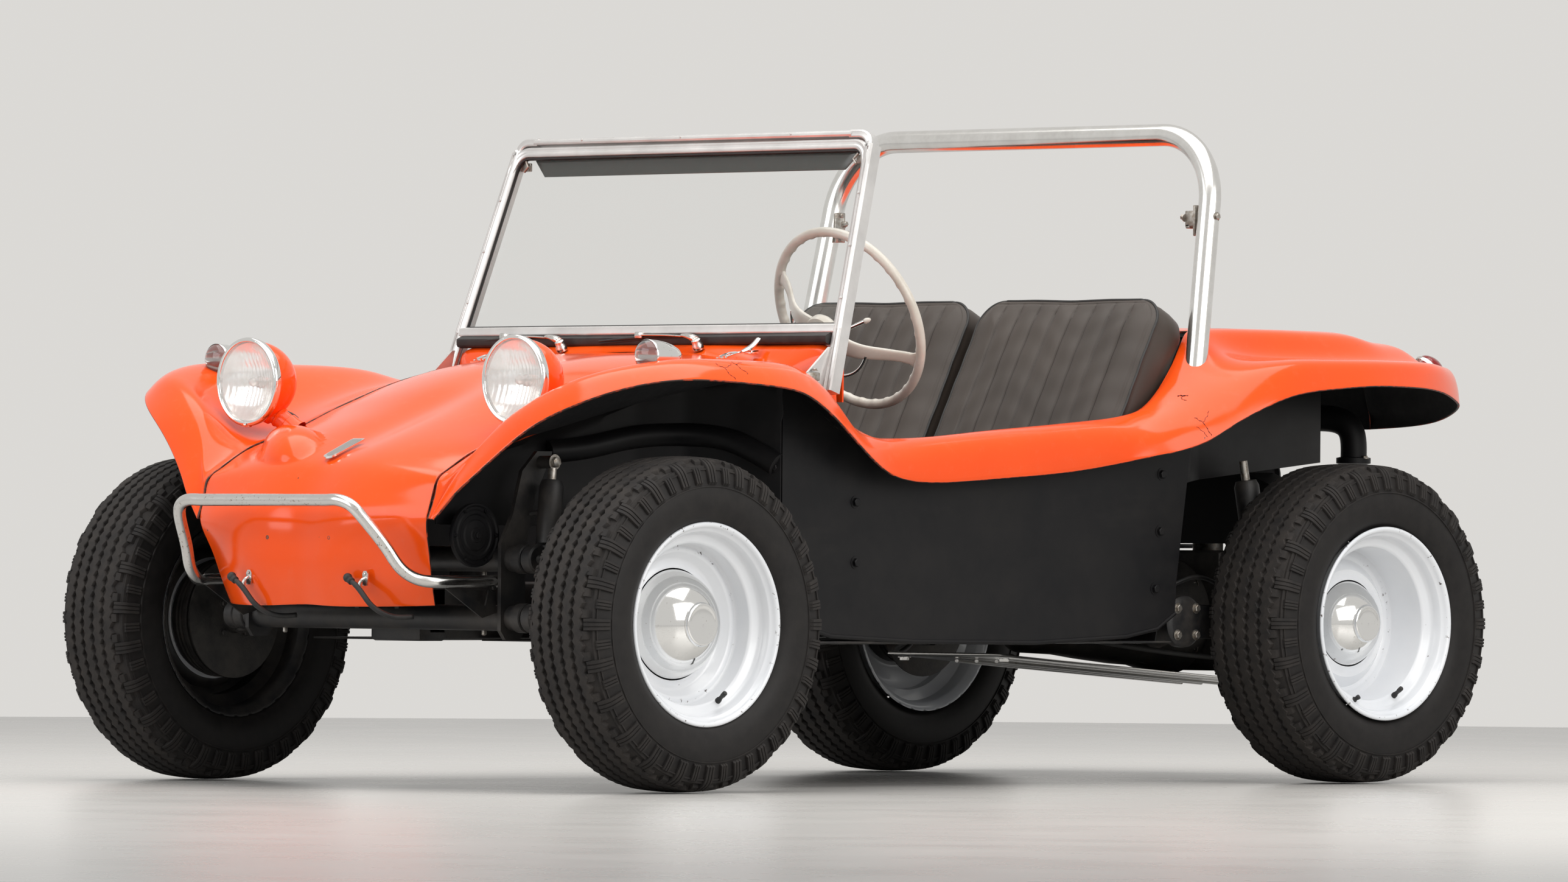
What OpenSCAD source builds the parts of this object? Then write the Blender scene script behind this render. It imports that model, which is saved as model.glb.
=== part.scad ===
// A two-seat dune buggy: an open glass-fibre body in panels on a floor pan, with a twin-tube
// front beam, swing axles and a rear engine. It faces -Y, +X is its left side, the floor is z = 0.

/* [Wheels] */
// Distance between the front and rear axles
wheelbase = 2032; // [1990:1:2080]
// Outer radius of the front tyres
front_tyre_r = 341; // [335:1:345]
// Outer radius of the rear tyres
rear_tyre_r = 343; // [337:1:347]
// Distance of the front wheels' middle plane from the centre line
front_track_half = 706; // [704:1:712]
// Distance of the rear wheels' middle plane from the centre line
rear_track_half = 690; // [688:1:700]
// Distance of the steering pivots from the centre line
kingpin_x = 600; // [596:1:604]

/* [Body] */
// Thickness of the glass-fibre panels
skin = 5; // [4:0.5:6]
// Half of the gap between the hood lid and the panels around it
lid_gap = 4.5; // [4:0.5:5]
// Distance of the flat tub sides from the centre line
tub_x = 590; // [580:1:592]
// Underside of the floor pan
floor_z = 300; // [295:1:305]

/* [Frame tubes] */
// Outer diameter of the roll bar's tube
roll_bar_d = 48; // [44:1:50]
// Outer diameter of the front bumper's tube
bumper_d = 25.4; // [22:0.1:28]
// Outer diameter of the front beam's two tubes
beam_d = 52; // [48:1:56]

/* [Cockpit] */
// Outer diameter of the steering wheel
wheel_d = 412; // [396:1:416]
// Slope of the steering column from level
column_tilt = 23.5; // [22:0.5:25]
// Distance of each seat's middle from the centre line
seat_x = 300; // [296:1:304]
// Width of each seat
seat_w = 500; // [480:1:500]

/* [Hidden] */
$fn = 48;

// The front axle's place along the car, so that the origin is under the middle of the whole car
front_axle_y = -1100.8;
orange = "orangered";
black = [0.09, 0.09, 0.1];
steel = "silver";

// ---- helpers: vectors, curves and lofted panels ----

X = [1, 0, 0];
Y = [0, 1, 0];
Z = [0, 0, 1];

function unit(v) = v / norm(v);
function mix(a, b, t) = a + (b - a) * t;

// The point a share t of the way from b to c on a smooth curve that runs on to a and d
function curve_point(a, b, c, d, t) =
    (2 * b + (c - a) * t + (2 * a - 5 * b + 4 * c - d) * t * t
     + (3 * b - a - 3 * c + d) * t * t * t) / 2;

// A row of points with n steps between each pair, on one smooth curve
function smooth_row(row, n) =
    let (last = len(row) - 1)
    [for (i = [0 : last * n])
        let (k = min(floor(i / n), last - 1), t = i / n - k)
        curve_point(row[k == 0 ? 0 : k - 1], row[k], row[k + 1], row[min(k + 2, last)], t)];

function turned(rows) = [for (j = [0 : len(rows[0]) - 1]) [for (r = rows) r[j]]];

// A smooth grid of points through rows of curve points
function smooth_grid(rows, along, across) =
    turned([for (line = turned([for (r = rows) smooth_row(r, across)])) smooth_row(line, along)]);

function grid_normal(g, i, j) =
    let (m = len(g) - 1, n = len(g[0]) - 1,
         down = g[min(i + 1, m)][j] - g[max(i - 1, 0)][j],
         side = g[i][min(j + 1, n)] - g[i][max(j - 1, 0)])
    unit(cross(side, down));

// A closed panel of even thickness whose outer face is the grid. side is 1 or -1 and says which
// side of the grid is outside.
module panel(g, thick, side = 1) {
    m = len(g);
    n = len(g[0]);
    outer = [for (i = [0 : m - 1]) for (j = [0 : n - 1]) g[i][j]];
    inner = [for (i = [0 : m - 1]) for (j = [0 : n - 1])
        g[i][j] - side * thick * grid_normal(g, i, j)];
    s = m * n;
    cells = [for (i = [0 : m - 2]) for (j = [0 : n - 2]) [i * n + j, i * n + j + 1,
                                                           (i + 1) * n + j + 1, (i + 1) * n + j]];
    top = [for (c = cells) each [[c[0], c[1], c[2]], [c[0], c[2], c[3]]]];
    bottom = [for (c = cells) each [[c[0] + s, c[2] + s, c[1] + s], [c[0] + s, c[3] + s, c[2] + s]]];
    rim = concat([for (j = [0 : n - 1]) j], [for (i = [1 : m - 1]) i * n + n - 1],
                 [for (j = [n - 2 : -1 : 0]) (m - 1) * n + j], [for (i = [m - 2 : -1 : 1]) i * n]);
    edge = [for (k = [0 : len(rim) - 1])
        let (a = rim[k], b = rim[(k + 1) % len(rim)])
        each [[a, a + s, b + s], [a, b + s, b]]];
    faces = concat(top, bottom, edge);
    polyhedron(concat(outer, inner), side > 0 ? [for (f = faces) [f[2], f[1], f[0]]] : faces);
}

// A round bar between two points
module bar(a, b, d) {
    v = b - a;
    translate(a) rotate([0, acos(v[2] / norm(v)), atan2(v[1], v[0])]) cylinder(h = norm(v), d = d);
}

// A bent bar along a smooth curve through the path's points, bends in between
module bent_bar(path, d, bends = 3, sides = 14) {
    line = smooth_row(path, bends);
    last = len(line) - 1;
    rings = [for (i = [0 : last])
        let (t = unit(line[min(i + 1, last)] - line[max(i - 1, 0)]),
             u = unit(cross(abs(t[0]) > 0.9 ? Y : X, t)), v = cross(t, u))
        for (a = [0 : sides - 1])
            line[i] + d / 2 * (u * cos(a * 360 / sides) + v * sin(a * 360 / sides))];
    skin_faces = [for (i = [0 : last - 1]) for (a = [0 : sides - 1])
        let (p = i * sides + a, q = i * sides + (a + 1) % sides)
        each [[p, q + sides, q], [p, p + sides, q + sides]]];
    polyhedron(rings, concat(skin_faces, [[for (a = [0 : sides - 1]) a]],
                             [[for (a = [sides - 1 : -1 : 0]) last * sides + a]]));
}

module both_sides() {
    children();
    mirror(X) children();
}

module at_front_axle() translate([0, front_axle_y, 0]) children();

// ---- body surface: named feature lines, as rows of points from the front to the back ----
// Every row is for the left side, in millimetres from the middle of the front axle at floor level.

// Front fender, columns: seam with the lid or cowl, crest above the wheel, lip
FRONT_FENDER = [
    [[345, -354, 552], [351, -350, 551], [357, -347, 549]],
    [[346, -336, 600], [366, -323, 603], [404, -334, 602]],
    [[346, -327, 630], [386, -309, 639], [435, -319, 633]],
    [[346, -297, 651], [422, -284, 690], [499, -292, 691]],
    [[348, -226, 689], [470, -249, 754], [569, -267, 743]],
    [[351, -170, 710], [540, -210, 806], [640, -233, 780]],
    [[355, -110, 725], [620, -170, 842], [705, -180, 810]],
    [[362, -40, 748], [680, -90, 866], [755, -95, 831]],
    [[372, 50, 780], [712, 0, 877], [775, 5, 836]],
    [[382, 150, 812], [716, 110, 878], [776, 115, 832]],
    [[395, 250, 840], [706, 229, 876], [770, 229, 825]],
    [[413, 350, 860], [686, 331, 871], [750, 331, 809]],
    [[450, 430, 868], [668, 410, 853], [730, 420, 772]],
    [[530, 495, 835], [662, 475, 812], [703, 495, 737]],
    [[570, 555, 782], [652, 540, 760], [688, 550, 706]],
    [[573, 625, 735], [632, 615, 733], [670, 625, 666]]];

// Sill, columns: y, height of its top, lip x, lip z
SILL = [[628, 732, 670, 666], [700, 725, 656, 642], [820, 728, 650, 635], [1000, 743, 650, 645],
        [1194, 758, 650, 659], [1350, 771, 655, 679], [1450, 784, 675, 696]];

// Rear fender, columns: top edge, shoulder, hollow beside the deck, crest, lip
REAR_FENDER = [
    [[573, 1452, 780], [590, 1452, 785], [610, 1452, 781], [640, 1452, 762], [676, 1438, 696]],
    [[571, 1510, 799], [588, 1512, 805], [613, 1515, 801], [652, 1515, 784], [692, 1507, 709]],
    [[564, 1568, 840], [583, 1572, 847], [617, 1576, 840], [668, 1576, 815], [718, 1568, 733]],
    [[554, 1618, 889], [578, 1625, 894], [620, 1632, 879], [686, 1632, 850], [740, 1615, 764]],
    [[535, 1668, 940], [566, 1678, 939], [616, 1692, 909], [706, 1690, 877], [758, 1672, 794]],
    [[506, 1722, 966], [545, 1735, 958], [600, 1755, 914], [722, 1752, 894], [772, 1745, 822]],
    [[490, 1800, 973], [535, 1812, 963], [586, 1830, 911], [733, 1825, 903], [776, 1820, 837]],
    [[488, 1910, 974], [533, 1915, 963], [580, 1920, 910], [738, 1912, 905], [776, 1908, 845]],
    [[488, 2022, 974], [533, 2022, 962], [578, 2022, 910], [738, 2022, 906], [775, 2022, 852]],
    [[486, 2140, 973], [528, 2140, 960], [575, 2140, 910], [726, 2140, 906], [758, 2140, 852]],
    [[478, 2240, 969], [518, 2246, 955], [570, 2252, 909], [700, 2252, 905], [731, 2242, 849]],
    [[458, 2312, 958], [503, 2326, 945], [560, 2340, 907], [662, 2345, 902], [691, 2342, 840]],
    [[436, 2382, 953], [484, 2402, 940], [543, 2420, 904], [615, 2425, 897], [647, 2424, 826]],
    [[415, 2440, 947], [462, 2464, 932], [515, 2480, 899], [570, 2486, 888], [603, 2484, 815]],
    [[390, 2484, 930], [425, 2512, 905], [460, 2530, 880], [500, 2542, 845], [535, 2538, 799]],
    [[355, 2500, 925], [375, 2535, 890], [392, 2556, 855], [410, 2570, 818], [430, 2578, 779]],
    [[250, 2510, 925], [250, 2548, 888], [250, 2568, 852], [250, 2582, 808], [250, 2588, 767]]];

// Hood lid along the centre line, columns: y, z
HOOD_LINE = [[-374, 375], [-388, 430], [-392, 490], [-388, 545], [-371, 588], [-340, 636], [-307, 668],
             [-214, 706], [-117, 741], [-32, 773], [37, 801], [106, 828], [175, 849], [245, 868],
             [350, 887], [450, 898], [530, 903]];
// Hood lid edge, columns: x, y, z
HOOD_EDGE = [[312, -295, 375], [322, -315, 430], [333, -334, 490], [345, -352, 545], [346, -341, 588],
             [346, -324, 633], [346, -297, 651], [348, -226, 689], [355, -117, 723], [363, -32, 751],
             [371, 37, 776], [378, 106, 798], [385, 175, 820], [394, 245, 839], [413, 350, 860],
             [424, 450, 869], [420, 528, 873]];
// Height of the lid's shoulder above a straight line from its centre to its edge
HOOD_CROWN = [14, 14, 14, 14, 12, 10, 12, 16, 18, 18, 18, 18, 18, 16, 14, 12, 12];

// Cowl, columns: y, z on the centre line, z at its side's top edge, x of that edge, z of its foot
COWL = [[538, 905, 872, 420, 868], [560, 910, 885, 500, 800], [590, 922, 915, 552, 770],
        [640, 924, 918, 556, 740]];

// ---- body panels ----

// The fender's mid column sits in a hollow between the lid and the crest
function fender_row(r) = let (v = r[0] + [lid_gap, 0, 0])
    [v, mix(v, r[1], 0.35) - [0, 0, 0.09 * norm(r[1] - v)], mix(v, r[1], 0.75), r[1],
     mix(r[1], r[2], 0.5) + [0.09, 0, 0.09] * norm(r[2] - r[1]), r[2]];

module front_fenders() color(orange) at_front_axle() both_sides()
    panel(smooth_grid([for (r = FRONT_FENDER) fender_row(r)], 2, 2), skin, -1);

module sills() color(orange) at_front_axle() both_sides()
    panel(smooth_grid([for (s = SILL) [[tub_x - 22, s[0], s[1] - 60], [tub_x - 20, s[0], s[1] - 8],
        [tub_x + 2, s[0], s[1]], [tub_x + 36, s[0], s[1] - 10], [s[2] - 4, s[0], s[1] - 40],
        [s[2], s[0], s[3]]]], 2, 2), skin, -1);

module rear_fenders() color(orange) at_front_axle() both_sides()
    panel(smooth_grid(REAR_FENDER, 2, 2), skin, -1);

// The deck spans the rear fenders' top edges from behind the seats to the tail
deck_first = 5;
deck_inset = 0.4;
function deck_row(e, crown) = [for (s = [-1 : 0.25 : 1])
    [s * (e[0] - deck_inset), e[1], e[2] + crown * (1 - s * s)]];
deck_rows = concat([for (k = [deck_first : 15]) deck_row(REAR_FENDER[k][0], 3)],
    [for (j = [0 : 4]) deck_row(REAR_FENDER[16][j], 0)]);
module rear_deck() color(orange) at_front_axle() panel(smooth_grid(deck_rows, 1, 1), skin, -1);

function hood_row(k) = let (c = [0, HOOD_LINE[k][0], HOOD_LINE[k][1]],
        e = HOOD_EDGE[k] - [lid_gap, 0, 0], up = unit(cross(X, k < 16 ?
            [0, HOOD_LINE[k + 1][0] - c[1], HOOD_LINE[k + 1][1] - c[2]] : Y)))
    [for (s = [-1, -0.85, -0.55, -0.25, 0, 0.25, 0.55, 0.85, 1])
        let (a = abs(s), p = mix(c, e, a))
        [s * e[0], mix(c, e, pow(a, 2.2))[1], p[2] + 0] + up * HOOD_CROWN[k] * (a * (1 - a) * 4)];

module hood() color(orange) at_front_axle() {
    panel(smooth_grid([for (k = [0 : 16]) hood_row(k)], 1, 1), skin, -1);
}

module cowl() color(orange) at_front_axle()
    panel(smooth_grid([for (c = COWL) let (e = c[3])
        [[-e - 14, c[0], c[4]], [-e - 8, c[0], mix(c[4], c[2], 0.6)], [-e, c[0], c[2] - 6],
         [-e * 0.85, c[0], c[2] + 4], [-e * 0.5, c[0], mix(c[1], c[2], 0.3)], [0, c[0], c[1]],
         [e * 0.5, c[0], mix(c[1], c[2], 0.3)], [e * 0.85, c[0], c[2] + 4], [e, c[0], c[2] - 6],
         [e + 8, c[0], mix(c[4], c[2], 0.6)], [e + 14, c[0], c[4]]]], 2, 1), skin, -1);

// ---- tub, floor and bulkheads ----

// Plan of the black inner wall beside the front wheel, columns: x, y; it curves in so that the
// steered tyre never reaches it
WING_PLAN = [[300, -285], [300, 40], [318, 130], [352, 225], [415, 320], [490, 372], [tub_x, 412]];
wall = 4;
wing_top = [612, 722, 752, 790, 825, 815, 770];

module upright_wall(plan, low, high, thick)
    panel([for (i = [0 : len(plan) - 1]) [[plan[i][0], plan[i][1], low[i]],
                                          [plan[i][0], plan[i][1], high[i]]]], thick, 1);

module inner_wings() color(black) at_front_axle() both_sides() {
    upright_wall(WING_PLAN, [540, 540, 420, 330, floor_z, floor_z, floor_z], wing_top, wall);
    // Behind the seats the wall turns in beside the rear wheel
    upright_wall([[tub_x - 32, 1660], [500, 1740], [468, 1800], [462, 2190]],
                 [640, 645, 650, 690], [845, 890, 900, 900], wall);
}

// Flat tub side, columns: y, z
TUB_SIDE = [[416, 345], [560, 312], [803, 301], [1167, 298], [1446, 311], [1540, 327], [1596, 360],
            [1600, 430], [1640, 700], [1655, 770], [1600, 748], [1500, 702], [1350, 674],
            [1100, 652], [820, 640], [690, 650], [600, 690], [545, 716], [416, 760]];
module tub_sides() color(black) at_front_axle() both_sides()
    translate([tub_x - wall, 0, 0]) rotate([90, 0, 90]) linear_extrude(wall) polygon(TUB_SIDE);

floor_front = 60;
floor_back = 1590;
tunnel_w = 150;
tunnel_top = 420;
module floor_pan() color(black) at_front_axle() {
    difference() {
        translate([-tub_x + wall + 1, floor_front + 360, floor_z])
            cube([2 * (tub_x - wall - 1), floor_back - floor_front - 360, 4]);
        translate([-tunnel_w / 2 + 3, floor_front, floor_z - 1])
            cube([tunnel_w - 6, floor_back - floor_front + 1, 6]);
    }
    translate([-440, floor_front, floor_z]) cube([440 - tunnel_w / 2 + 3, 260, 4]);
    translate([tunnel_w / 2 - 3, floor_front, floor_z]) cube([440 - tunnel_w / 2 + 3, 260, 4]);
    translate([-400, floor_front + 259, floor_z]) cube([400 - tunnel_w / 2 + 3, 102, 4]);
    translate([tunnel_w / 2 - 3, floor_front + 259, floor_z]) cube([400 - tunnel_w / 2 + 3, 102, 4]);
    // Hollow spine with the frame head that carries the front beam
    difference() {
        translate([-tunnel_w / 2, -118, floor_z]) cube([tunnel_w, floor_back + 118, tunnel_top - floor_z]);
        translate([-tunnel_w / 2 + 4, -100, floor_z - 1])
            cube([tunnel_w - 8, floor_back + 90, tunnel_top - floor_z - 3]);
    }
}

// Wall behind the seats, leaning back from the floor to the deck's front edge
bulkhead_y = 1598;
bulkhead_half = 530;
module rear_bulkhead() color(black) at_front_axle()
    translate([-bulkhead_half, 0, 0]) rotate([90, 0, 90]) linear_extrude(2 * bulkhead_half)
        polygon([[bulkhead_y, floor_z], [bulkhead_y + 140, 955], [bulkhead_y + 140 + wall, 955],
                 [bulkhead_y + wall, floor_z]]);

// ---- lamps ----

lamp_x = 402;
lamp_z = 834;
lamp_front_y = -169;
lamp_d = 185;
module headlights() at_front_axle() both_sides() {
    translate([lamp_x, lamp_front_y, lamp_z]) rotate([-90, 0, 0]) {
        color(orange) rotate_extrude($fn = 64) polygon(concat([[0, 14], [lamp_d / 2 - 6, 14]],
            [for (a = [10 : 16 : 90]) [(lamp_d / 2 - 8) * cos(a), 24 + lamp_d / 2 * sin(a)]]));
        color(steel) rotate_extrude($fn = 64)
            polygon([[0, 0], [lamp_d / 2 - 8, -2], [lamp_d / 2, 4], [lamp_d / 2, 15], [0, 15]]);
        color("white") rotate_extrude($fn = 64)
            polygon([[0, -14], [40, -11], [lamp_d / 2 - 10, -1], [lamp_d / 2 - 10, 1], [0, 1]]);
    }
    // Stalk from the bowl down to the lid
    color(orange) bar([lamp_x - 36, lamp_front_y + 50, lamp_z - 62],
                      [lamp_x - 92, lamp_front_y + 72, 718], 36);
}

module turn_signals() at_front_axle() both_sides() translate([649, -33, 884]) {
    color(steel) rotate([-90, 0, 0]) rotate_extrude()
        polygon([[0, 0], [33, 0], [33, 10], [30, 40], [22, 70], [10, 92], [0, 98]]);
    color("white") rotate([90, 0, 0]) rotate_extrude()
        polygon([[0, 0], [31, 0], [30, 6], [20, 13], [0, 16]]);
    color(steel) translate([0, 40, -28]) cylinder(h = 20, d = 34);
}

tail_lamp = [474, 2531, 897];
module tail_lamps() color("darkred") at_front_axle() both_sides()
    translate(tail_lamp) rotate([-48, 0, -25]) cylinder(h = 26, d1 = 74, d2 = 60);

// ---- bumper, horn ----

// Left half of the bumper's path: across the nose, down beside it and back to the beam
BUMPER = [[0, -488, 587], [225, -488, 587], [256, -482, 577], [276, -467, 552], [302, -424, 490],
          [318, -400, 450], [336, -368, 428], [358, -330, 423], [362, -176, 425]];
module front_bumper() color(steel) at_front_axle() {
    bar(BUMPER[0] - [BUMPER[1][0], 0, 0], BUMPER[1], bumper_d);
    both_sides() {
        bent_bar([for (k = [1 : 8]) BUMPER[k]], bumper_d, 2, 16);
        // Gusset under the tube's last length, with its lightening hole
        translate([360, 0, 0]) rotate([90, 0, 90]) linear_extrude(4) difference() {
            polygon([[-330, 420], [-178, 420], [-178, 372], [-215, 355]]);
            polygon([[-262, 404], [-198, 404], [-206, 376]]);
        }
    }
}

module horn() color(black) at_front_axle() translate([338, -222, 519]) rotate([0, 90, 0]) {
    rotate_extrude() polygon([[0, -34], [38, -34], [50, -14], [64.5, -8], [64.5, 6], [40, 12],
                              [34, 20], [0, 22]]);
    translate([-66, -12, -8]) cube([30, 24, 4]);
}

// ---- front axle ----

beam_y = -150;
beam_low = 350;
beam_high = 470;
beam_half = 432;
arm_y = beam_y + 3;
module front_beam() color(black) at_front_axle() {
    for (z = [beam_low, beam_high]) bar([-beam_half, beam_y, z], [beam_half, beam_y, z], beam_d);
    both_sides() {
        // Side plate joining the tubes, and the tower that carries the shock absorber
        translate([375, beam_y, 0]) rotate([90, 0, 90]) linear_extrude(10) union() {
            polygon([[-34, 324], [-20, 306], [20, 306], [34, 324], [34, 500], [-34, 500]]);
            polygon([[-20, 480], [30, 480], [70, 640], [110, 690], [60, 690], [20, 650]]);
        }
        bar([375, beam_y + 76, 668], [425, beam_y + 76, 668], 26);
    }
    // Clamp plates that join the beam to the frame head
    for (x = [-60, 60]) translate([x - 6, beam_y - 20, beam_low]) cube([12, 50, beam_high - beam_low]);
}

kingpin_low = 300;
kingpin_high = 500;
module front_suspension() color(black) at_front_axle() both_sides() {
    for (z = [beam_low, beam_high]) {
        // Torsion arm from the beam's end back to the steering pivot
        bar([beam_half + 1, beam_y, z], [beam_half + 30, beam_y, z], 58);
        bar([beam_half + 18, beam_y, z], [552, -8, z - 8], 26);
    }
    // Link that joins the two arms' ends ahead of the pivot
    bar([552, -8, beam_low - 24], [552, -8, beam_high + 14], 30);
    // Shock absorber
    bar([445, beam_y + 30, 372], [428, beam_y + 70, 560], 34);
    bar([432, beam_y + 56, 520], [419, beam_y + 76, 640], 50);
    bar([419, beam_y + 76, 630], [419, beam_y + 76, 655], 22);
}

// Steering knuckle with its brake plate and spindle, drawn for the left side
spindle_d = 34;
module knuckle() color(black) {
    bar([kingpin_x, 0, kingpin_low + 14], [kingpin_x, 0, kingpin_high - 14], 32);
    bar([kingpin_x, 0, front_tyre_r], [kingpin_x + 30, 0, front_tyre_r], 64);
    bar([kingpin_x + 29, 0, front_tyre_r], [kingpin_x + 138, 0, front_tyre_r], spindle_d);
    bar([kingpin_x + 22, 0, front_tyre_r], [kingpin_x + 27, 0, front_tyre_r], 252);
    // Steering arm
    bar([kingpin_x, 0, front_tyre_r + 30], [kingpin_x - 30, 92, front_tyre_r + 20], 22);
}
module knuckle_left() at_front_axle() knuckle();
module knuckle_right() at_front_axle() mirror(X) knuckle();

// ---- wheels, drawn with the axle along X, the outside towards +X ----

// Tyre section, columns: radius, half width, as shares of the half section width
function tyre_half(r, half) = [[203, half * 0.80], [216, half * 0.93], [242, half],
    [272, half * 0.995], [r - 40, half * 0.93], [r - 18, half * 0.86], [r - 6, half * 0.78],
    [r, half * 0.62], [r, 0]];
function mirrored(p) = [for (k = [len(p) - 2 : -1 : 0]) [p[k][0], -p[k][1]]];
module tyre(r, half) color(black) rotate([0, 90, 0]) rotate_extrude($fn = 96) {
    outer = tyre_half(r, half);
    inner = [[203, half * 0.72], [222, half * 0.84], [268, half * 0.9], [r - 34, half * 0.8],
             [r - 16, half * 0.6], [r - 16, 0]];
    polygon(concat(outer, mirrored(outer), [for (k = [0 : len(inner) - 1]) [inner[k][0], -inner[k][1]]],
                   [for (k = [len(inner) - 2 : -1 : 0]) inner[k]]));
}

hub_bore_d = spindle_d + 0.1;
// Drop-centre steel wheel with its disc, and the brake drum behind it. ring is the disc's outer
// fold as [radius, distance out of the middle plane]; seat is where the hub cap stands.
module rim(half, ring, seat, drum_in) color("white") rotate([0, 90, 0]) difference() {
    face = seat[1];
    rotate_extrude($fn = 96) union() {
        polygon([[207.5, half], [205, half - 6], [199, half - 10], [192, half - 14], [189, half - 40],
                 [166, half - 52], [164, -half + 60], [189, -half + 46], [192, -half + 14],
                 [199, -half + 10], [205, -half + 6], [207.5, -half], [202, -half - 0.1],
                 [196, -half + 8], [188, -half + 14], [185, -half + 43], [160, -half + 57],
                 [160, half - 49], [185, half - 37], [188, half - 14], [196, half - 8],
                 [202, half + 0.1]]);
        polygon([[163, ring[1] - 6], [ring[0], ring[1]], [ring[0] - 10, ring[1]], [seat[0] + 18, face - 4],
                 [seat[0] + 5, face], [seat[0] - 7, face], [60, face + 8], [25, face + 8], [25, face],
                 [60, face], [seat[0] - 7, face - 5], [seat[0] + 16, face - 9],
                 [ring[0] - 8, ring[1] - 5], [163, ring[1] - 11]]);
        polygon([[16, drum_in], [36, drum_in], [36, face - 14], [seat[0] + 4, face - 14],
                 [seat[0] + 4, drum_in], [seat[0] + 14, drum_in], [seat[0] + 14, face - 7],
                 [60, face + 2], [40, face + 5], [40, face + 24], [16, face + 24]]);
    }
    cylinder(h = 400, d = hub_bore_d, center = true, $fn = 64);
}

// Bell-shaped cap with a flat round boss; columns: share of its radius, share of its height
CAP = [[1, 0], [0.99, 0.07], [0.93, 0.26], [0.80, 0.50], [0.62, 0.72], [0.45, 0.86], [0.39, 0.93],
       [0.38, 1]];
module hub_cap(seat, height) color(steel) rotate([0, 90, 0]) rotate_extrude($fn = 96)
    translate([0, seat[1]]) polygon(concat(
        [for (c = CAP) [seat[0] * c[0], height * c[1]]], [[0, height], [0, height - 2]],
        [for (k = [len(CAP) - 1 : -1 : 0]) [seat[0] * CAP[k][0] - 2, max(0, height * CAP[k][1] - 2)]]));

front_half = 92.5;
rear_half = 112.5;
front_section = 104;
rear_section = 116;
// Disc folds and cap seats, columns: radius, distance out of the wheel's middle plane
front_ring = [158, 6];
front_seat = [112, -9];
rear_ring = [151, -22];
rear_seat = [91, 1];
front_cap_h = 88;
rear_cap_h = 59;
drum_depth = 62;
module at_wheel(side, front) {
    x = front ? front_track_half : rear_track_half;
    place = [x, front ? 0 : wheelbase, front ? front_tyre_r : rear_tyre_r];
    at_front_axle() mirror(side > 0 ? [0, 0, 0] : X) translate(place) children();
}
module tyre_fl() at_wheel(1, true) tyre(front_tyre_r, front_section);
module tyre_fr() at_wheel(-1, true) tyre(front_tyre_r, front_section);
module tyre_rl() at_wheel(1, false) tyre(rear_tyre_r, rear_section);
module tyre_rr() at_wheel(-1, false) tyre(rear_tyre_r, rear_section);
module front_rim() rim(front_half, front_ring, front_seat, front_seat[1] - drum_depth);
module rear_rim() rim(rear_half, rear_ring, rear_seat, rear_seat[1] - drum_depth - 22);
module rim_fl() at_wheel(1, true) front_rim();
module rim_fr() at_wheel(-1, true) front_rim();
module rim_rl() at_wheel(1, false) rear_rim();
module rim_rr() at_wheel(-1, false) rear_rim();
module cap_fl() at_wheel(1, true) hub_cap(front_seat, front_cap_h);
module cap_fr() at_wheel(-1, true) hub_cap(front_seat, front_cap_h);
module cap_rl() at_wheel(1, false) hub_cap(rear_seat, rear_cap_h);
module cap_rr() at_wheel(-1, false) hub_cap(rear_seat, rear_cap_h);

// ---- rear axle, engine ----

torsion_y = 1665;
torsion_z = 345;
module rear_axle() color(black) at_front_axle() {
    bar([-530, torsion_y, torsion_z], [530, torsion_y, torsion_z], 90);
    // Gearbox with its bell housing, along the car between the frame fork and the engine
    translate([0, 1715, 352]) rotate([-90, 0, 0]) rotate_extrude()
        polygon([[0, 0], [62, 0], [80, 20], [84, 120], [94, 200], [104, 300], [108, 370],
                 [120, 420], [127, 480], [127, 488], [0, 488]]);
    both_sides() {
        bar([100, wheelbase, rear_tyre_r], [560, wheelbase, rear_tyre_r], 74);
        bar([560, wheelbase, rear_tyre_r], [590, wheelbase, rear_tyre_r], 120);
        bar([590, wheelbase, rear_tyre_r], [rear_track_half + 24, wheelbase, rear_tyre_r], spindle_d);
        bar([584, wheelbase, rear_tyre_r], [589, wheelbase, rear_tyre_r], 262);
        // Frame fork
        bent_bar([[130, 1652, 350], [184, 1780, 356], [190, 1930, 352], [104, 2120, 346]], 50);
    }
}

module rear_suspension() color(black) at_front_axle() both_sides() {
    // Spring plate from the torsion tube to the axle
    bar([531, torsion_y, torsion_z], [560, torsion_y, torsion_z], 110);
    translate([548, 0, 0]) rotate([90, 0, 90]) linear_extrude(8)
        polygon([[torsion_y - 40, torsion_z - 30], [torsion_y + 10, torsion_z - 34],
                 [wheelbase - 46, 300], [wheelbase - 46, 380], [torsion_y + 10, torsion_z + 34],
                 [torsion_y - 40, torsion_z + 30]]);
    // Shock absorber
    bar([512, wheelbase - 60, 300], [500, wheelbase - 92, 520], 36);
    bar([502, wheelbase - 86, 470], [492, wheelbase - 112, 640], 54);
    bar([492, wheelbase - 112, 630], [490, wheelbase - 118, 690], 18);
}

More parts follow.
